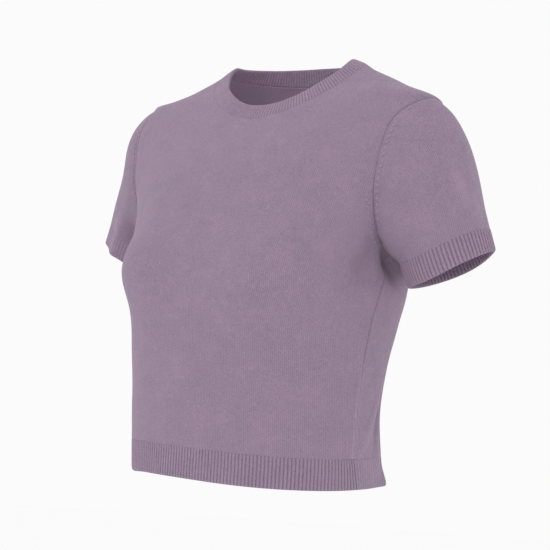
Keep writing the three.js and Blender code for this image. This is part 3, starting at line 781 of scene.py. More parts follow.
# Sleeves
def sleeve(name, right, sizes, material):
    fine = SLEEVE_MESH
    turns = np.linspace(0, FULL_TURN, fine["around"], endpoint=False)
    along = edge_steps(fine["rows"], fine["seam_step"], fine["seam_step"])
    turn, share = np.meshgrid(turns, along)
    point = sleeve_point(turn, share, right)
    normal = sleeve_normal(turn, share, right)
    seam = armhole_line(turns, right, sizes.wall)
    reach = np.linalg.norm(np.diff(point, axis=0), axis=-1)
    from_seam = np.concatenate([np.zeros((1, len(turns))), np.cumsum(reach, axis=0)])
    to_cuff = from_seam[-1] - from_seam
    depth, width = armhole_roll(np.abs(turned(turn)), sizes)
    at_cuff = SEAM_SHARES["rib_join"] * sizes.seam_depth * bell(to_cuff, sizes.seam_width)
    sink = depth * bell(from_seam, width) + at_cuff
    outer = point - normal * sink[..., None]
    near_seam = np.clip(1 - from_seam / CORNER_REACH, 0, 1)[..., None]
    inner = point + blend(-normal * sizes.wall, seam["inner"][None], near_seam)
    # The wales run beside the sleeve's top line, as in a sleeve knitted flat.
    from_underarm = np.array([lengths_along(row) for row in point])
    from_top = from_underarm - from_underarm[:, len(turns) // 2, None]
    uv = np.stack([from_top, to_cuff], axis=-1).reshape(-1, 2)
    outer, inner = (flipped(face.reshape(-1, 3), right) for face in (outer, inner))
    # Painted light: highlights along the sleeve's ridges, painted shade in its hollows.
    shade = -sleeve_creases(turn, share, right, "pale").ravel()
    return make_wall(name, sheet_quads(*turn.shape, ring=True), outer, inner, uv, shade, material)


# Ribbed trims
COLUMNS_PER_RIB = 8
LIP_STEPS = 8
GROOVE_SHARE = 0.12
INSIDE_GROOVE_SHARE = 0.27

# Over how far the ribs rise from a trim's seam and melt together at its lip, and how much they melt
RIB_FADE = 2.2 * MM
LIP_MELT = 0.6
TURN_MELT = 0.7

# How far a trim lies back, as a share of the ribs' height, how much painted shade its purl side's
# grooves get against a painted highlight on its crests, and the dots of painted shade along its
# join: their width in ribs and where they lie, in millimetres from the seam
RIB_LEVEL = 0.85
PURL_SHADE = 0.8
JOIN_DOT = dict(share=0.2, off=0.6, spread=0.6)

# How strongly the ribs show outside and inside, as shares of their full height, and where the right
# cuff's are pulled smooth
RIB_STRENGTH = dict(neck=0.6, neck_inside=1.7, cuff=1, cuff_inside=1.9, hem=0.85, hem_inside=1)
SMOOTH_CUFF = dict(turn=104, spread_turn=58, share=0.95)


def rib_crest(phase, groove_share):
    """A rib's rounded ridge, 1 at its top, with a groove, 0, on each side of it."""
    from_groove = np.abs((phase + 0.5) % 1 - 0.5)
    return (1 - bell(from_groove, groove_share)) * (0.75 + 0.25 * np.sin(math.pi * (phase % 1)))


def end_caps(rows, columns, profile):
    """The faces that close a strip's two ends."""
    caps = []
    for column in (0, columns - 1):
        loop = np.arange(profile) * columns + column
        faces = [[loop[k], loop[k + 1], loop[-2 - k], loop[-1 - k]] for k in range(rows - 1)]
        faces.append(list(loop[rows - 1:profile - rows + 1]))
        caps.extend(face if column == 0 else face[::-1] for face in faces)
    return caps


def ribbed_trim(name, spine, normal, away, phase, strength, inner_strength, down, foot, ring, sizes,
                material):
    """A ribbed strip from its seam to its rounded lip and back up inside.
    spine, normal and away are grids of points and directions, a row for each step from the seam.
    phase counts ribs along the strip, the strengths are each column's share of the rib's full
    height outside and inside, down is the length from the seam, and foot is how far the inner face
    shifts at the seam."""
    rows, columns = phase.shape
    half = sizes.wall / 2
    down_the_strip = np.arange(rows)
    over_the_lip = math.pi * np.arange(1, LIP_STEPS) / LIP_STEPS
    turn = np.concatenate([0 * down_the_strip, over_the_lip, np.full(rows, math.pi)])
    row = np.concatenate([down_the_strip, np.full(LIP_STEPS - 1, rows - 1), down_the_strip[::-1]])
    outside = ((1 + np.cos(turn)) / 2)[:, None]
    down = np.broadcast_to(down, phase.shape)
    shown = blend(inner_strength, strength[row], outside) * smooth_step(0, RIB_FADE, down)[row]
    crest = rib_crest(phase[row], GROOVE_SHARE)
    purl = rib_crest(phase[row] + 0.5, INSIDE_GROOVE_SHARE)
    # The ribs melt together where the cloth turns over at the lip.
    lip_fade = (1 - LIP_MELT * smooth_step(RIB_FADE, 0, down[-1].mean() - down))[row]
    lip_fade = lip_fade * (1 - TURN_MELT * np.sin(turn))[:, None]
    relief = outside * sizes.rib_rise * crest + (1 - outside) * sizes.rib_rise_inside * purl
    relief = shown * lip_fade * relief
    around = np.cos(turn)[:, None, None] * normal[row] + np.sin(turn)[:, None, None] * away[row]
    # Outside, the tops of the ribs lie level with the plain cloth next to them.
    level = shown * sizes.rib_rise * RIB_LEVEL
    sink = SEAM_SHARES["rib_join"] * sizes.seam_depth * bell(down[row], sizes.seam_width) * outside
    middle = spine[row] - normal[row] * (half + level + sink)[..., None]
    points = middle + around * (half + relief)[..., None]
    foot_fade = (np.clip(1 - down[row] / CORNER_REACH, 0, 1) * (1 - outside))[..., None]
    points = points + (foot[None] + normal[row] * sizes.wall) * foot_fade
    profile = len(turn)
    quads = sheet_quads(profile + 1, columns, ring) % (profile * columns)
    caps = [] if ring else end_caps(rows, columns, profile)
    # The stitches' wales follow the ribs, so the UV map counts ribs along the strip.
    uv = np.stack([phase[row] * sizes.hem_rib_pitch, down[row]], axis=-1).reshape(-1, 2)
    # Painted shade darkens each groove outside; inside, the purl ribs get painted shade in their grooves and
    # a painted highlight on their crests.
    shade = (outside * (1 - crest) + (1 - outside) * (PURL_SHADE - purl)) * shown
    # Along the join to the plain cloth a dotted line of painted shade darkens the foot of each groove, one
    # dot to a groove.
    dots = bell((phase[row] + 0.5) % 1 - 0.5, JOIN_DOT["share"])
    dots = dots * bell(down[row] - JOIN_DOT["off"] * MM, JOIN_DOT["spread"] * MM)
    shade += sizes.join_shade * dots * outside * strength[row]
    return make_piece(name, points.reshape(-1, 3), quads, caps, uv, shade.ravel(), material)


def neck_band(name, sizes, material):
    line = neck_line(sizes.wall)
    girth = lengths_along(line["point"], closed=True)[-1]
    ribs = round(girth / sizes.neck_rib_pitch)
    columns = ribs * COLUMNS_PER_RIB
    share = np.arange(columns) / columns
    seam = sampled(line, share)
    steps = np.unique(np.concatenate([np.linspace(0, 0.14, 6), np.linspace(0.14, 1, 12)]))
    height = sizes.neck_band_height - sizes.wall / 2
    # The band bows out a little between its seam and its lip.
    bow = sizes.neck_band_bow * np.sin(math.pi * steps)
    spine = (seam["point"][None] + seam["rise"][None] * (steps * height)[:, None, None]
             + seam["band_normal"][None] * bow[:, None, None])
    normal = np.broadcast_to(seam["band_normal"], spine.shape)
    away = np.broadcast_to(seam["rise"], spine.shape)
    phase = np.broadcast_to(share * ribs, spine.shape[:2])
    # The ribs are pulled smooth over the right shoulder's front and eased over the left shoulder.
    # The share round the seam is 0 at the left shoulder, 0.5 at the right one.
    right_front = smooth_step(0.335, 0.40, share) * (1 - smooth_step(0.50, 0.545, share))
    left_top = np.maximum(1 - smooth_step(0.0, 0.045, share), smooth_step(0.97, 1.0, share))
    strength = RIB_STRENGTH["neck"] * (1 - 0.95 * right_front) * (1 - 0.6 * left_top)
    return ribbed_trim(name, spine, normal, away, phase, np.broadcast_to(strength, phase.shape),
                       RIB_STRENGTH["neck_inside"], (steps * height)[:, None], seam["inner"], True, sizes,
                       material)


def cuff_trim(name, right, sizes, material):
    girth = math.pi * (CUFF["half_width"] + CUFF["half_depth"]) * MM
    ribs = round(girth / sizes.cuff_rib_pitch)
    columns = ribs * COLUMNS_PER_RIB
    share = np.arange(columns) / columns
    steps = np.unique(np.concatenate([np.linspace(0, 0.11, 6), np.linspace(0.11, 1, 14)]))
    height = CUFF_HEIGHT - sizes.wall / 2
    turn, step = np.meshgrid(share * FULL_TURN, steps)
    spine = cuff_point(turn, CUFF_HEIGHT - step * height, right)
    normal = cuff_normal(turn)
    away = np.broadcast_to(CUFF_AXIS, spine.shape)
    phase = np.broadcast_to(share * ribs, turn.shape)
    # The right cuff's ribs are pulled smooth over its outer front.
    off_smooth = turned(turn - math.radians(SMOOTH_CUFF["turn"]))
    smooth = SMOOTH_CUFF["share"] * bell(off_smooth, math.radians(SMOOTH_CUFF["spread_turn"])) if right else 0
    strength = np.broadcast_to(RIB_STRENGTH["cuff"] * (1 - smooth), turn.shape)
    spine, normal, away = (flipped(grid, right) for grid in (spine, normal, away))
    return ribbed_trim(name, spine, normal, away, phase, strength, RIB_STRENGTH["cuff_inside"], step * height,
                       -normal[0] * sizes.wall, True, sizes, material)


def hem_rib(name, side, sizes, material):
    """Half of the hem rib, between the side seams. Its ribs lean with the seam only close to it."""
    steps = np.unique(np.concatenate([np.linspace(0, 0.09, 6), np.linspace(0.09, 1, 16)]))
    height = HEM_RIB_HEIGHT - sizes.wall / 2
    heights = RIB_TOP - steps * height
    fine = np.linspace(0, 1, 900)

    def arc(z, forward):
        start = -math.radians(forward)
        angles = start + (side * math.pi - 2 * start) * fine
        return angles, lengths_along(body_point(angles, np.full_like(angles, z)))

    hem_length = arc(-BODY_LENGTH, SIDE_SEAM_FORWARD["hem"])[1][-1]
    ribs = round(hem_length / sizes.hem_rib_pitch)
    columns = ribs * COLUMNS_PER_RIB + 1
    share = np.linspace(0, 1, columns)
    middle_forward = (SIDE_SEAM_FORWARD["hem"] + SIDE_SEAM_FORWARD["rib_top"]) / 2
    angle = []
    for step, z in zip(steps, heights):
        forward = blend(SIDE_SEAM_FORWARD["rib_top"], SIDE_SEAM_FORWARD["hem"], step)
        middle_angles, middle_lengths = arc(z, middle_forward)
        upright = np.interp(share * middle_lengths[-1], middle_lengths, middle_angles)
        from_end = np.minimum(share, 1 - share) * middle_lengths[-1]
        towards = np.where(share < 0.5, 1, -1)
        lean = math.radians(middle_forward - forward) * np.exp(-from_end / sizes.seam_lean_reach)
        angle.append(upright + towards * lean)
    angle = np.array(angle)
    z = np.broadcast_to(heights[:, None], angle.shape)
    spine = body_point(angle, z)
    normal = body_normal(angle, z)
    away = unit(body_point(angle, z - MM) - body_point(angle, z + MM))
    phase = np.broadcast_to(share * ribs, angle.shape)
    if side > 0:
        from_end = np.minimum(share, 1 - share) * hem_length
        strength = RIB_STRENGTH["hem"] * smooth_step(30 * MM, 80 * MM, from_end)
    else:
        strength = RIB_STRENGTH["hem"] - 0.75 * smooth_step(0.80, 0.90, share)
    return ribbed_trim(name, spine, normal, away, phase, np.broadcast_to(strength, angle.shape),
                       RIB_STRENGTH["hem_inside"], (steps * height)[:, None], -normal[0] * sizes.wall, False,
                       sizes, material)


# Materials
def fill_input(tree, socket, value):
    """Links a node's input to a socket, or gives it a plain value."""
    if isinstance(value, bpy.types.NodeSocket):
        tree.links.new(value, socket)
    else:
        socket.default_value = value


def add_node(tree, kind, inputs=(), **settings):
    """A node with its settings made and its inputs filled."""
    node = tree.nodes.new(kind)
    for title, value in settings.items():
        setattr(node, title, value)
    for title, value in dict(inputs).items():
        fill_input(tree, node.inputs[title], value)
    return node


def link_math(tree, operation, *operands):
    """A maths node fed by sockets or plain numbers, and its result."""
    node = add_node(tree, "ShaderNodeMath", operation=operation)
    for socket, operand in zip(node.inputs, operands):
        fill_input(tree, socket, operand)
    return node.outputs[0]


def new_group(name, inputs, outputs):
    """An empty shader group with its ends. An input with no default is a vector."""
    group = bpy.data.node_groups.new(name, "ShaderNodeTree")
    for title, default in inputs.items():
        kind = "NodeSocketVector" if default is None else "NodeSocketFloat"
        socket = group.interface.new_socket(name=title, in_out="INPUT", socket_type=kind)
        if default is not None:
            socket.default_value = default
    for title in outputs:
        group.interface.new_socket(name=title, in_out="OUTPUT", socket_type="NodeSocketFloat")
    return group, group.nodes.new("NodeGroupInput").outputs, group.nodes.new("NodeGroupOutput").inputs


def stitch_group():
    """Relief of knit stitches: upright wales of small V shapes, from the cloth's UV map in metres."""
    pitches = {"Wale pitch": 1.9 * MM, "Course pitch": 1.4 * MM}
    group, start, end = new_group("Knit stitches", {"Cloth": None, **pitches}, ["Height"])
    maths = partial(link_math, group)
    split = add_node(group, "ShaderNodeSeparateXYZ", {"Vector": start["Cloth"]})
    wale = maths("DIVIDE", split.outputs["X"], start["Wale pitch"])
    course = maths("DIVIDE", split.outputs["Y"], start["Course pitch"])
    across = maths("ABSOLUTE", maths("SUBTRACT", maths("FRACT", wale), 0.5))
    slanted = maths("ADD", course, maths("MULTIPLY", across, STITCH["leg_slant"]))
    loop = maths("COSINE", maths("MULTIPLY", slanted, FULL_TURN))
    off_middle = maths("POWER", maths("MULTIPLY", across, 2.0), STITCH["roundness"])
    legs = maths("ADD", 1 - STITCH["loop_share"], maths("MULTIPLY", loop, STITCH["loop_share"]))
    group.links.new(maths("MULTIPLY", maths("SUBTRACT", 1.0, off_middle), legs), end["Height"])
    return group


def mottle_group():
    """Uneven yarn colour: soft clouds, flecks a few stitches across and the grain of the yarn."""
    sizes = {title: row["size"] * MM for title, row in MOTTLE.items()}
    group, start, end = new_group("Yarn mottle", {"Place": None, **sizes}, ["Hue", "Tone", "Fuzz"])
    maths = partial(link_math, group)
    hue, tone = 0.5, 1.0
    for title, row in MOTTLE.items():
        scale = maths("DIVIDE", 1.0, start[title])
        noise = add_node(group, "ShaderNodeTexNoise",
                         {"Vector": start["Place"], "Scale": scale, "Detail": 1.0, "Roughness": 0.6})
        uneven = maths("SUBTRACT", noise.outputs["Fac"], 0.5)
        hue = maths("ADD", hue, maths("MULTIPLY", uneven, row["hue"]))
        tone = maths("ADD", tone, maths("MULTIPLY", uneven, row["tone"]))
    group.links.new(hue, end["Hue"])
    group.links.new(tone, end["Tone"])
    group.links.new(noise.outputs["Fac"], end["Fuzz"])
    return group


def knit_material(name, cool, warm, wale_pitch, colours, sizes):
    material = bpy.data.materials.new(name)
    material.use_nodes = True
    tree = material.node_tree
    tree.nodes.clear()
    maths = partial(link_math, tree)
    groups = bpy.data.node_groups
    place = add_node(tree, "ShaderNodeTexCoord").outputs
    mottle = add_node(tree, "ShaderNodeGroup", {"Place": place["Object"]},
                      node_tree=groups.get("Yarn mottle") or mottle_group()).outputs
    # The yarn wanders a little, so that the wales are not ruled lines.
    wander = maths("MULTIPLY", maths("SUBTRACT", mottle["Fuzz"], 0.5), sizes.wander * wale_pitch)
    shifted = add_node(tree, "ShaderNodeVectorMath", {0: place["UV"], 1: wander})
    stitches = add_node(tree, "ShaderNodeGroup",
                        {"Cloth": shifted.outputs["Vector"], "Wale pitch": wale_pitch,
                         "Course pitch": sizes.course_pitch},
                        node_tree=groups.get("Knit stitches") or stitch_group()).outputs
    # The shade attribute holds painted light: painted shade in rib and seam grooves, join dots and troughs,
    # painted highlights on ridges and raised lines.
    groove = add_node(tree, "ShaderNodeAttribute", attribute_name="shade").outputs["Fac"]

    tint = add_node(tree, "ShaderNodeMix", {"A": (*cool, 1), "B": (*warm, 1), "Factor": mottle["Hue"]},
                    data_type="RGBA")
    # Painted shade: the gaps between stitches and the grooves darken the yarn's colour.
    between = maths("MULTIPLY", maths("SUBTRACT", 1.0, stitches["Height"]), colours.stitch_shade)
    painted_shade_share = maths("MULTIPLY", groove, colours.groove_shade)
    shade = maths("MULTIPLY", maths("SUBTRACT", 1.0, between), maths("SUBTRACT", 1.0, painted_shade_share))
    shaded = add_node(tree, "ShaderNodeVectorMath",
                      {"Vector": tint.outputs["Result"], "Scale": maths("MULTIPLY", shade, mottle["Tone"])},
                      operation="SCALE")
    rough = add_node(tree, "ShaderNodeMapRange", {"Value": mottle["Fuzz"], "To Min": 0.86, "To Max": 1.0})
    loops = add_node(tree, "ShaderNodeBump", {
        "Strength": 0.75, "Distance": sizes.stitch_relief, "Height": stitches["Height"]})
    halo = add_node(tree, "ShaderNodeBump", {
        "Strength": 0.5, "Distance": sizes.fuzz_relief, "Height": mottle["Fuzz"],
        "Normal": loops.outputs["Normal"]})
    shader = add_node(tree, "ShaderNodeBsdfPrincipled", {
        "Base Color": shaded.outputs["Vector"], "Roughness": rough.outputs["Result"],
        "Normal": halo.outputs["Normal"], "Specular IOR Level": 0.15, "Sheen Weight": colours.sheen,
        "Sheen Roughness": 0.45, "Sheen Tint": (*colours.sheen_tint, 1)})
    add_node(tree, "ShaderNodeOutputMaterial", {"Surface": shader.outputs["BSDF"]})
    return material


def material_for(title):
    """The plain or rib knit, made on its first use."""
    found = bpy.data.materials.get(title)
    if found:
        return found
    colours = bpy.context.scene.crop_top_colours
    sizes = bpy.context.scene.crop_top_sizes
    if title == "Plain knit":
        return knit_material(title, colours.knit_cool, colours.knit_warm, sizes.wale_pitch, colours, sizes)
    return knit_material(title, colours.rib_cool, colours.rib_warm, sizes.hem_rib_pitch, colours, sizes)


# Geometry Nodes trees for what repeats along a seam: a loop's faces round and along it
MARK_FACES = (8, 5)
RIDGE_LOOP_FACES = (6, 4)


def seam_tree(name, ridge):
    """Small loops set at even steps along a seam line, and for a linked seam the ridge under them."""
    tree = bpy.data.node_groups.new(name, "GeometryNodeTree")
    sockets = tree.interface
    sockets.new_socket(name="Geometry", in_out="INPUT", socket_type="NodeSocketGeometry")
    for title, default in (("Spacing", 6), ("Loop length", 3), ("Loop width", 1.8), ("Loop rise", 1),
                           ("Ridge radius", 1)):
        size = sockets.new_socket(name=title, in_out="INPUT", socket_type="NodeSocketFloat")
        size.default_value = default * MM
    sockets.new_socket(name="Material", in_out="INPUT", socket_type="NodeSocketMaterial")
    sockets.new_socket(name="Geometry", in_out="OUTPUT", socket_type="NodeSocketGeometry")

    def add(kind, output, inputs=(), **settings):
        """One output of a new node"""
        return add_node(tree, kind, inputs, **settings).outputs[output]

    start = tree.nodes.new("NodeGroupInput").outputs
    line = add("GeometryNodeMeshToCurve", "Curve", {"Mesh": start["Geometry"]})
    spaced = add("GeometryNodeResampleCurve", "Curve", {"Curve": line, "Length": start["Spacing"]},
                 mode="LENGTH")
    segments, rings = RIDGE_LOOP_FACES if ridge else MARK_FACES
    bead = add("GeometryNodeMeshUVSphere", "Mesh", {"Segments": segments, "Rings": rings, "Radius": 0.5})
    outward = add("GeometryNodeInputNamedAttribute", "Attribute", {"Name": "cloth_out"},
                  data_type="FLOAT_VECTOR")
    tangent = add("GeometryNodeInputTangent", "Tangent")
    upright = add("FunctionNodeAlignRotationToVector", "Rotation", {"Vector": outward}, axis="Z")
    facing = add("FunctionNodeAlignRotationToVector", "Rotation", {"Rotation": upright, "Vector": tangent},
                 axis="X", pivot_axis="Z")
    lean = add("GeometryNodeInputNamedAttribute", "Attribute", {"Name": "slant"}, data_type="FLOAT")
    slant = add("FunctionNodeAxisAngleToRotation", "Rotation", {"Axis": (0, 0, 1), "Angle": lean})
    rotation = add("FunctionNodeRotateRotation", "Rotation", {"Rotation": facing, "Rotate By": slant},
                   rotation_space="LOCAL")
    size = add("ShaderNodeCombineXYZ", "Vector",
               {"X": start["Loop length"], "Y": start["Loop width"], "Z": start["Loop rise"]})
    placed = add("GeometryNodeInstanceOnPoints", "Instances",
                 {"Points": spaced, "Instance": bead, "Rotation": rotation, "Scale": size})
    joined = add_node(tree, "GeometryNodeJoinGeometry", {"Geometry": placed})
    if ridge:
        profile = add("GeometryNodeCurvePrimitiveCircle", "Curve",
                      {"Resolution": 8, "Radius": start["Ridge radius"]})
        swept = add("GeometryNodeCurveToMesh", "Mesh",
                    {"Curve": line, "Profile Curve": profile, "Fill Caps": True})
        tree.links.new(swept, joined.inputs["Geometry"])
    solid = add("GeometryNodeRealizeInstances", "Geometry", {"Geometry": joined.outputs["Geometry"]})
    smooth = add("GeometryNodeSetShadeSmooth", "Geometry", {"Geometry": solid})
    coloured = add("GeometryNodeSetMaterial", "Geometry", {"Geometry": smooth, "Material": start["Material"]})
    add_node(tree, "NodeGroupOutput", {"Geometry": coloured})
    return tree


def along_lines(name, lines, tree, settings, material):
    """Runs a seam tree along lines, as a plain mesh. A line is its points, the cloth's outward
    direction at each, the loops' slant and whether it closes."""
    points, outs, slants, edges = [], [], [], []
    for place, out, slant, closed in lines:
        first = len(points)
        points.extend(settled(place).tolist())
        outs.extend(out.tolist())
        slants.extend([slant] * len(place))
        edges.extend((first + i, first + i + 1) for i in range(len(place) - 1))
        if closed:
            edges.append((first + len(place) - 1, first))
    mesh = bpy.data.meshes.new(name + "_line")
    mesh.from_pydata(points, edges, [])
    outward = mesh.attributes.new("cloth_out", "FLOAT_VECTOR", "POINT")
    outward.data.foreach_set("vector", np.array(outs).ravel())
    mesh.attributes.new("slant", "FLOAT", "POINT").data.foreach_set("value", slants)
    line = linked(name + "_line", mesh)
    modifier = line.modifiers.new("Seam", "NODES")
    modifier.node_group = tree
    sockets = {item.name: item.identifier for item in tree.interface.items_tree if item.in_out == "INPUT"}
    for title, value in (*settings.items(), ("Material", material)):
        modifier[sockets[title]] = value
    shown = line.evaluated_get(bpy.context.evaluated_depsgraph_get())
    made = bpy.data.meshes.new_from_object(shown)
    made.name = name
    # Each loop is a single large stitch, so its UV map stays near a stitch's crest, where the painted shade
    # between stitches is light.
    crest = (0.36 * bpy.context.scene.crop_top_sizes.wale_pitch, 0)
    made.uv_layers.new(name="cloth").uv.foreach_set("vector", np.tile(crest, len(made.loops)))
    bpy.data.objects.remove(line)
    return linked(name, made)


# Where the fashioning marks run beside an armhole, in degrees round it from the underarm
SLEEVE_MARK_SPANS = ((50, 128), (232, 305))
BODY_MARK_SPANS = ((18, 66), (296, 342))


def mark_slant(right, last, sizes):
    """The slant of a sleeve's marks, which lean up and away from the body. The body's lean the other way."""
    in_front = last <= 180
    return sizes.mark_slant if right == in_front else -sizes.mark_slant


def sleeve_marks(right, first, last, sizes):
    """A line on the sleeve beside the armhole seam."""
    turns = np.radians(np.linspace(first, last, 240))
    beside = 0.1
    seam = sleeve_point(turns, np.zeros_like(turns), right)
    reach = np.linalg.norm(sleeve_point(turns, np.full_like(turns, beside), right) - seam, axis=-1) / beside
    along = sizes.mark_offset / reach
    place, normal = (flipped(grid(turns, along, right), right) for grid in (sleeve_point, sleeve_normal))
    return place, normal, mark_slant(right, last, sizes), False


def body_marks(right, first, last, sizes):
    """A line on the body beside the armhole seam, sunk a little so that the marks lie in the cloth."""
    turns = np.radians(np.linspace(first, last, 200))
    angle, z = armhole_seam(turns, right)
    point = body_point(on_side(angle, right), z)
    normal = body_normal(on_side(angle, right), z)
    inward = unit(np.cross(normal, unit(np.gradient(point, axis=0))))
    inward = inward * np.sign(dot(inward, np.array((0, 0, -UNDERARM_DROP)) - point))
    sunk = 0.3 * MM
    place = point + inward * sizes.mark_offset - normal * sunk
    return place, normal, -mark_slant(right, last, sizes), False


def inside_seams(sizes):
    """The lines of the sewn seams inside: the neck's, the armholes', the sides', the cuffs' and the hem's."""
    wall = sizes.wall + 0.4 * sizes.inside_seam_radius
    past_corner = 1.15

    def under(place, normal, closed=True):
        """A line on the wall's inner face."""
        return place - normal * wall, -normal, 0, closed

    neck = {title: column[::4] for title, column in neck_line(wall).items()}
    angle = np.linspace(0, FULL_TURN, 700, endpoint=False)
    z = np.full_like(angle, RIB_TOP)
    lines = dict(neck=[(neck["point"] + neck["inner"] * past_corner, -neck["normal"], 0, True)],
                 armhole=[], side=[], cuff=[], hem=[under(body_point(angle, z), body_normal(angle, z))])
    turns = np.linspace(0, FULL_TURN, 300, endpoint=False)
    for right in SIDES:
        seam = armhole_line(turns, right, wall)
        place = flipped(seam["point"] + seam["inner"] * past_corner, right)
        lines["armhole"].append((place, -flipped(seam["normal"], right), 0, True))
        angle, z = side_seam(np.linspace(0, 1, 160))
        angle = on_side(angle, right)
        lines["side"].append(under(body_point(angle, z), body_normal(angle, z), closed=False))
        place = flipped(cuff_point(turns, np.full_like(turns, CUFF_HEIGHT), right), right)
        lines["cuff"].append(under(place, flipped(cuff_normal(turns), right)))
    return lines


# What a user may change
def length(name, description, millimetres):
    return bpy.props.FloatProperty(name=name, description=description, default=millimetres * MM,
                                   unit="LENGTH", precision=4)


def amount(name, description, default, subtype="NONE"):
    return bpy.props.FloatProperty(name=name, description=description, default=default, min=0,
                                   subtype=subtype)


def factor(name, description, default):
    return bpy.props.FloatProperty(name=name, description=description, default=default, min=0, max=1,
                                   subtype="FACTOR")


def colour(name, description, default):
    return bpy.props.FloatVectorProperty(name=name, description=description, default=default, subtype="COLOR",
                                         min=0, max=1)


class CropTopSizes(bpy.types.PropertyGroup):
    wall: length("Cloth thickness", "Thickness of the knitted wall", 1.8)
    seam_depth: length("Seam depth", "How far cloth rolls in at a seam", 0.6)
    seam_width: length("Seam width", "How far from a seam the cloth rolls in", 0.7)
    side_seam_rise: length("Side seam rise", "Raised line low on the side seam", 1.1)
    seam_lean_reach: length("Rib lean reach", "How far hem ribs lean with the side seam", 22)
    neck_band_height: length("Neck band height", "From the neck seam to the lip", 19)
    neck_rib_pitch: length("Neck rib spacing", "From rib to rib at the neck seam", 3.4)
    cuff_rib_pitch: length("Cuff rib spacing", "From rib to rib round a cuff", 3.8)
    hem_rib_pitch: length("Hem rib spacing", "From rib to rib along the hem", 3.8)
    neck_band_bow: length("Neck band bow", "How far the band rounds outwards", 0.3)
    rib_rise: length("Rib height", "How far a rib stands out of its groove", 0.8)
    rib_rise_inside: length("Inside rib height", "Rib height on the inner face", 0.6)
    wander: amount("Stitch wander", "How far stitches stray, in wale spacings", 1.0)
    # Painted shade of the dotted line at a rib's join
    join_shade: amount("Join shade", "Strength of the dotted line at a rib's join", 1.1)
    wale_pitch: length("Wale spacing", "From one column of stitches to the next", 1.9)
    course_pitch: length("Course spacing", "From one row of stitches to the next", 1.4)
    stitch_relief: length("Stitch relief", "Depth of the stitch texture", 0.35)
    fuzz_relief: length("Fuzz relief", "Depth of the yarn's fine fuzz", 0.4)
    mark_spacing: length("Fashioning mark spacing", "From one mark to the next", 6.1)
    mark_offset: length("Fashioning mark distance", "From the seam to the marks", 6.0)
    mark_length: length("Fashioning mark length", "Length of one mark", 4.4)
    mark_width: length("Fashioning mark width", "Width of one mark", 3.3)
    mark_rise: length("Fashioning mark height", "A mark's thickness, half of it sunk", 1.7)
    mark_slant: bpy.props.FloatProperty(name="Fashioning mark slant", default=0.62, unit="ROTATION",
                                        description="How far marks lean from the seam")
    inside_seam_radius: length("Inside seam radius", "Radius of a rolled seam", 0.75)
    inside_seam_stitch: length("Inside seam stitch", "Loop spacing on a rolled seam", 2.6)


class CropTopColours(bpy.types.PropertyGroup):
    knit_cool: colour("Knit, cool", "The plain knit's bluer yarn tone", (0.352, 0.264, 0.370))
    knit_warm: colour("Knit, warm", "The plain knit's pinker yarn tone", (0.378, 0.267, 0.373))
    rib_cool: colour("Rib, cool", "The ribs' bluer yarn tone", (0.352, 0.264, 0.370))
    rib_warm: colour("Rib, warm", "The ribs' pinker yarn tone", (0.378, 0.267, 0.373))
    # Painted shade in grooves and between stitches; the groove share also scales the painted highlights
    groove_shade: factor("Groove shade", "How much darker a rib's groove is", 0.27)
    stitch_shade: factor("Stitch shade", "How much darker the gaps between stitches are", 0.33)
    sheen: factor("Sheen", "Pale halo of the yarn's fine hairs at grazing angles", 0.25)
    sheen_tint: colour("Sheen tint", "Colour of the halo", (0.86, 0.8, 0.88))


class CropTopStudio(bpy.types.PropertyGroup):
    surround: amount("Surround brightness", "Strength of the even white surround", 1.0)
    floor_drop: length("Floor depth", "How far the floor lies under the shoulders", 950)
    key_power: amount("Key light", "Power of the large soft light above the front", 6.5, subtype="POWER")
    inside_power: amount("Light inside", "Power of the soft light in the hollow", 0.23, subtype="POWER")


# Operators
class CROPTOP_OT_bodies(bpy.types.Operator):
    """Make the front and back bodies of the top"""
    bl_idname = "croptop.bodies"
    bl_label = "Front and Back Bodies"

    def execute(self, context):
        sizes = context.scene.crop_top_sizes
        cloth = material_for("Plain knit")
        for name, side, node, cut, area in (("front_body", -1, "front_panel", (0.50, 0.39), 0.145),
                                            ("back_body", 1, "back_panel", (0.50, 0.40), 0.158)):
            piece = panel(name, side, sizes, cloth)
            finish_piece(piece, "plain_knit", node)
        return {"FINISHED"}


class CROPTOP_OT_sleeves(bpy.types.Operator):
    """Make the two short sleeves"""
    bl_idname = "croptop.sleeves"
    bl_label = "Sleeves"

    def execute(self, context):
        for name, right, node in (("left_sleeve", False, "sleeve_left"),
                                  ("right_sleeve", True, "sleeve_right")):
            piece = sleeve(name, right, context.scene.crop_top_sizes, material_for("Plain knit"))
            finish_piece(piece, "plain_knit", node)
        return {"FINISHED"}


class CROPTOP_OT_neck_band(bpy.types.Operator):
    """Make the ribbed neck band"""
    bl_idname = "croptop.neck_band"
    bl_label = "Neck Band"

    def execute(self, context):
        piece = neck_band("ribbed_neck_band", context.scene.crop_top_sizes, material_for("Rib knit"))
        finish_piece(piece, "rib_knit", "neck_band")
        return {"FINISHED"}


class CROPTOP_OT_cuffs(bpy.types.Operator):
    """Make the two ribbed cuffs"""
    bl_idname = "croptop.cuffs"
    bl_label = "Cuffs"

    def execute(self, context):
        for name, right, node in (("left_ribbed_cuff", False, "cuff_left"),
                                  ("right_ribbed_cuff", True, "cuff_right")):
            piece = cuff_trim(name, right, context.scene.crop_top_sizes, material_for("Rib knit"))
            finish_piece(piece, "rib_knit", node)
        return {"FINISHED"}


class CROPTOP_OT_hem_ribs(bpy.types.Operator):
    """Make the front and back hem ribs"""
    bl_idname = "croptop.hem_ribs"
    bl_label = "Hem Ribs"

    def execute(self, context):
        for name, side, node, width in (("front_hem_rib", -1, "hem_rib_front", 0.385),
                                        ("back_hem_rib", 1, "hem_rib_back", 0.405)):
            piece = hem_rib(name, side, context.scene.crop_top_sizes, material_for("Rib knit"))
            finish_piece(piece, "rib_knit", node)
        return {"FINISHED"}


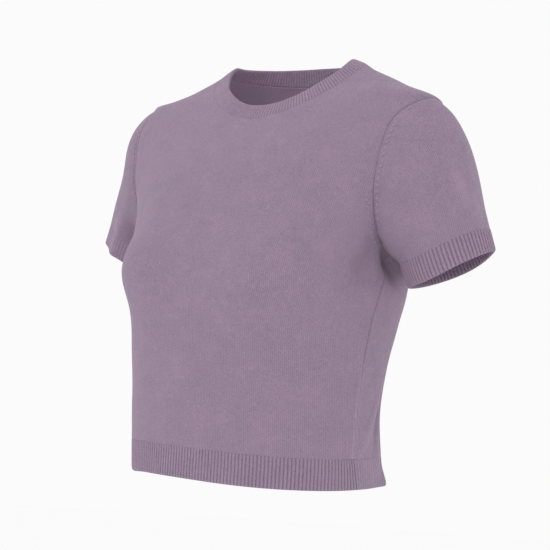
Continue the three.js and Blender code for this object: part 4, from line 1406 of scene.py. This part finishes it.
class CROPTOP_OT_fashioning_marks(bpy.types.Operator):
    """Set the fully fashioned marks beside the armhole seams"""
    bl_idname = "croptop.fashioning_marks"
    bl_label = "Fashioning Marks"

    def execute(self, context):
        sizes = context.scene.crop_top_sizes
        tree = seam_tree("Fashioning marks", ridge=False)
        settings = {"Spacing": sizes.mark_spacing, "Loop length": sizes.mark_length,
                    "Loop width": sizes.mark_width, "Loop rise": sizes.mark_rise}
        for name, marks, spans in (("sleeve_fashioning_marks", sleeve_marks, SLEEVE_MARK_SPANS),
                                   ("body_fashioning_marks", body_marks, BODY_MARK_SPANS)):
            lines = [marks(right, *span, sizes) for right in SIDES for span in spans]
            piece = along_lines(name, lines, tree, settings, material_for("Plain knit"))
            finish_piece(piece, "plain_knit")
        return {"FINISHED"}


class CROPTOP_OT_inside_seams(bpy.types.Operator):
    """Set the rolled seams inside the top"""
    bl_idname = "croptop.inside_seams"
    bl_label = "Inside Seams"

    def execute(self, context):
        sizes = context.scene.crop_top_sizes
        tree = seam_tree("Rolled seam", ridge=True)
        settings = {"Spacing": sizes.inside_seam_stitch, "Loop length": 0.8 * sizes.inside_seam_stitch,
                    "Loop width": 3.4 * sizes.inside_seam_radius, "Loop rise": 2.6 * sizes.inside_seam_radius,
                    "Ridge radius": sizes.inside_seam_radius}
        for place, lines in inside_seams(sizes).items():
            piece = along_lines(f"inside_{place}_seam", lines, tree, settings, material_for("Plain knit"))
            finish_piece(piece, "plain_knit")
        return {"FINISHED"}


class CROPTOP_OT_studio(bpy.types.Operator):
    """Lay the pale floor and set the soft lights and the camera"""
    bl_idname = "croptop.studio"
    bl_label = "Studio"

    def execute(self, context):
        studio = context.scene.crop_top_studio
        scene = context.scene
        scene.view_settings.view_transform = "Standard"
        world = bpy.data.worlds.new("Even surround")
        world.use_nodes = True
        background = world.node_tree.nodes["Background"]
        background.inputs["Color"].default_value = (0.965, 0.965, 0.965, 1)
        background.inputs["Strength"].default_value = studio.surround
        scene.world = world

        rim = np.linspace(0, FULL_TURN, 96, endpoint=False)
        ring = np.stack([5 * np.cos(rim), 5 * np.sin(rim), np.full_like(rim, -studio.floor_drop)], axis=-1)
        mesh = bpy.data.meshes.new("pale_floor")
        mesh.from_pydata(ring.tolist(), [], [list(range(len(rim)))])
        paper = bpy.data.materials.new("Pale paper")
        paper.use_nodes = True
        shader = paper.node_tree.nodes["Principled BSDF"]
        shader.inputs["Base Color"].default_value = (0.99, 0.99, 0.99, 1)
        shader.inputs["Roughness"].default_value = 1.0
        shader.inputs["Specular IOR Level"].default_value = 0.0
        mesh.materials.append(paper)
        floor = linked("pale_floor", mesh)

        for name, kind, place, radius, power in (
            ("key", "AREA", (0.5, -2.7, 1.0), 1.0, studio.key_power),
            ("glow_inside", "POINT", (0, -0.01, -0.13), 0.06, studio.inside_power),
        ):
            light = bpy.data.lights.new(name, kind)
            light.energy = power
            if kind == "AREA":
                light.shape = "DISK"
                light.size = 2 * radius
            else:
                light.shadow_soft_size = radius
            lamp = linked(name, light)
            lamp.location = place
            towards = Vector(CAMERA_VIEW["target"]) - Vector(place)
            lamp.rotation_euler = towards.to_track_quat("-Z", "Y").to_euler()
            lamp.visible_camera = False
        scene.camera = studio_camera()
        return {"FINISHED"}


def studio_camera():
    view = CAMERA_VIEW
    azimuth, elevation, roll = (math.radians(view[key]) for key in ("azimuth", "elevation", "roll"))
    back = Vector((math.sin(azimuth) * math.cos(elevation), -math.cos(azimuth) * math.cos(elevation),
                   math.sin(elevation)))
    level = Vector((math.cos(azimuth), math.sin(azimuth), 0))
    upright = back.cross(level)
    right = level * math.cos(roll) + upright * math.sin(roll)
    top = upright * math.cos(roll) - level * math.sin(roll)
    data = bpy.data.cameras.new("camera")
    data.sensor_width = view["sensor"]
    data.lens = view["focal_pixels"] * view["sensor"] / PHOTO_SIZE
    data.shift_x = (PHOTO_SIZE / 2 - view["centre_x"]) / PHOTO_SIZE
    data.shift_y = (view["centre_y"] - PHOTO_SIZE / 2) / PHOTO_SIZE
    camera = linked("camera", data)
    place = Vector(view["target"]) + back * view["distance"]
    camera.matrix_world = Matrix.Translation(place) @ Matrix((right, top, back)).transposed().to_4x4()
    return camera


MAKERS = (CROPTOP_OT_bodies, CROPTOP_OT_sleeves, CROPTOP_OT_neck_band, CROPTOP_OT_cuffs, CROPTOP_OT_hem_ribs,
          CROPTOP_OT_fashioning_marks, CROPTOP_OT_inside_seams, CROPTOP_OT_studio)


class CROPTOP_PT_panel(bpy.types.Panel):
    """The crop top's makers and sizes"""
    bl_label = "Knitted Crop Top"
    bl_idname = "CROPTOP_PT_panel"
    bl_space_type = "VIEW_3D"
    bl_region_type = "UI"
    bl_category = "Crop Top"

    def draw(self, context):
        for maker in MAKERS:
            self.layout.operator(maker.bl_idname)
        for title, kind in SETTINGS:
            box = self.layout.box()
            for name in kind.__annotations__:
                box.prop(getattr(context.scene, title), name)


SETTINGS = (("crop_top_sizes", CropTopSizes), ("crop_top_colours", CropTopColours),
            ("crop_top_studio", CropTopStudio))


def register():
    for name, group in SETTINGS:
        bpy.utils.register_class(group)
        setattr(bpy.types.Scene, name, bpy.props.PointerProperty(type=group))
    for kind in (*MAKERS, CROPTOP_PT_panel):
        bpy.utils.register_class(kind)


def unregister():
    for kind in reversed((*MAKERS, CROPTOP_PT_panel)):
        bpy.utils.unregister_class(kind)
    for name, group in SETTINGS:
        delattr(bpy.types.Scene, name)
        bpy.utils.unregister_class(group)


def main():
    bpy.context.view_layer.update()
    register()
    bpy.ops.croptop.bodies()
    bpy.ops.croptop.sleeves()
    bpy.ops.croptop.neck_band()
    bpy.ops.croptop.cuffs()
    bpy.ops.croptop.hem_ribs()
    bpy.ops.croptop.fashioning_marks()
    bpy.ops.croptop.inside_seams()
    bpy.ops.croptop.studio()


if __name__ == "__main__":
    main()
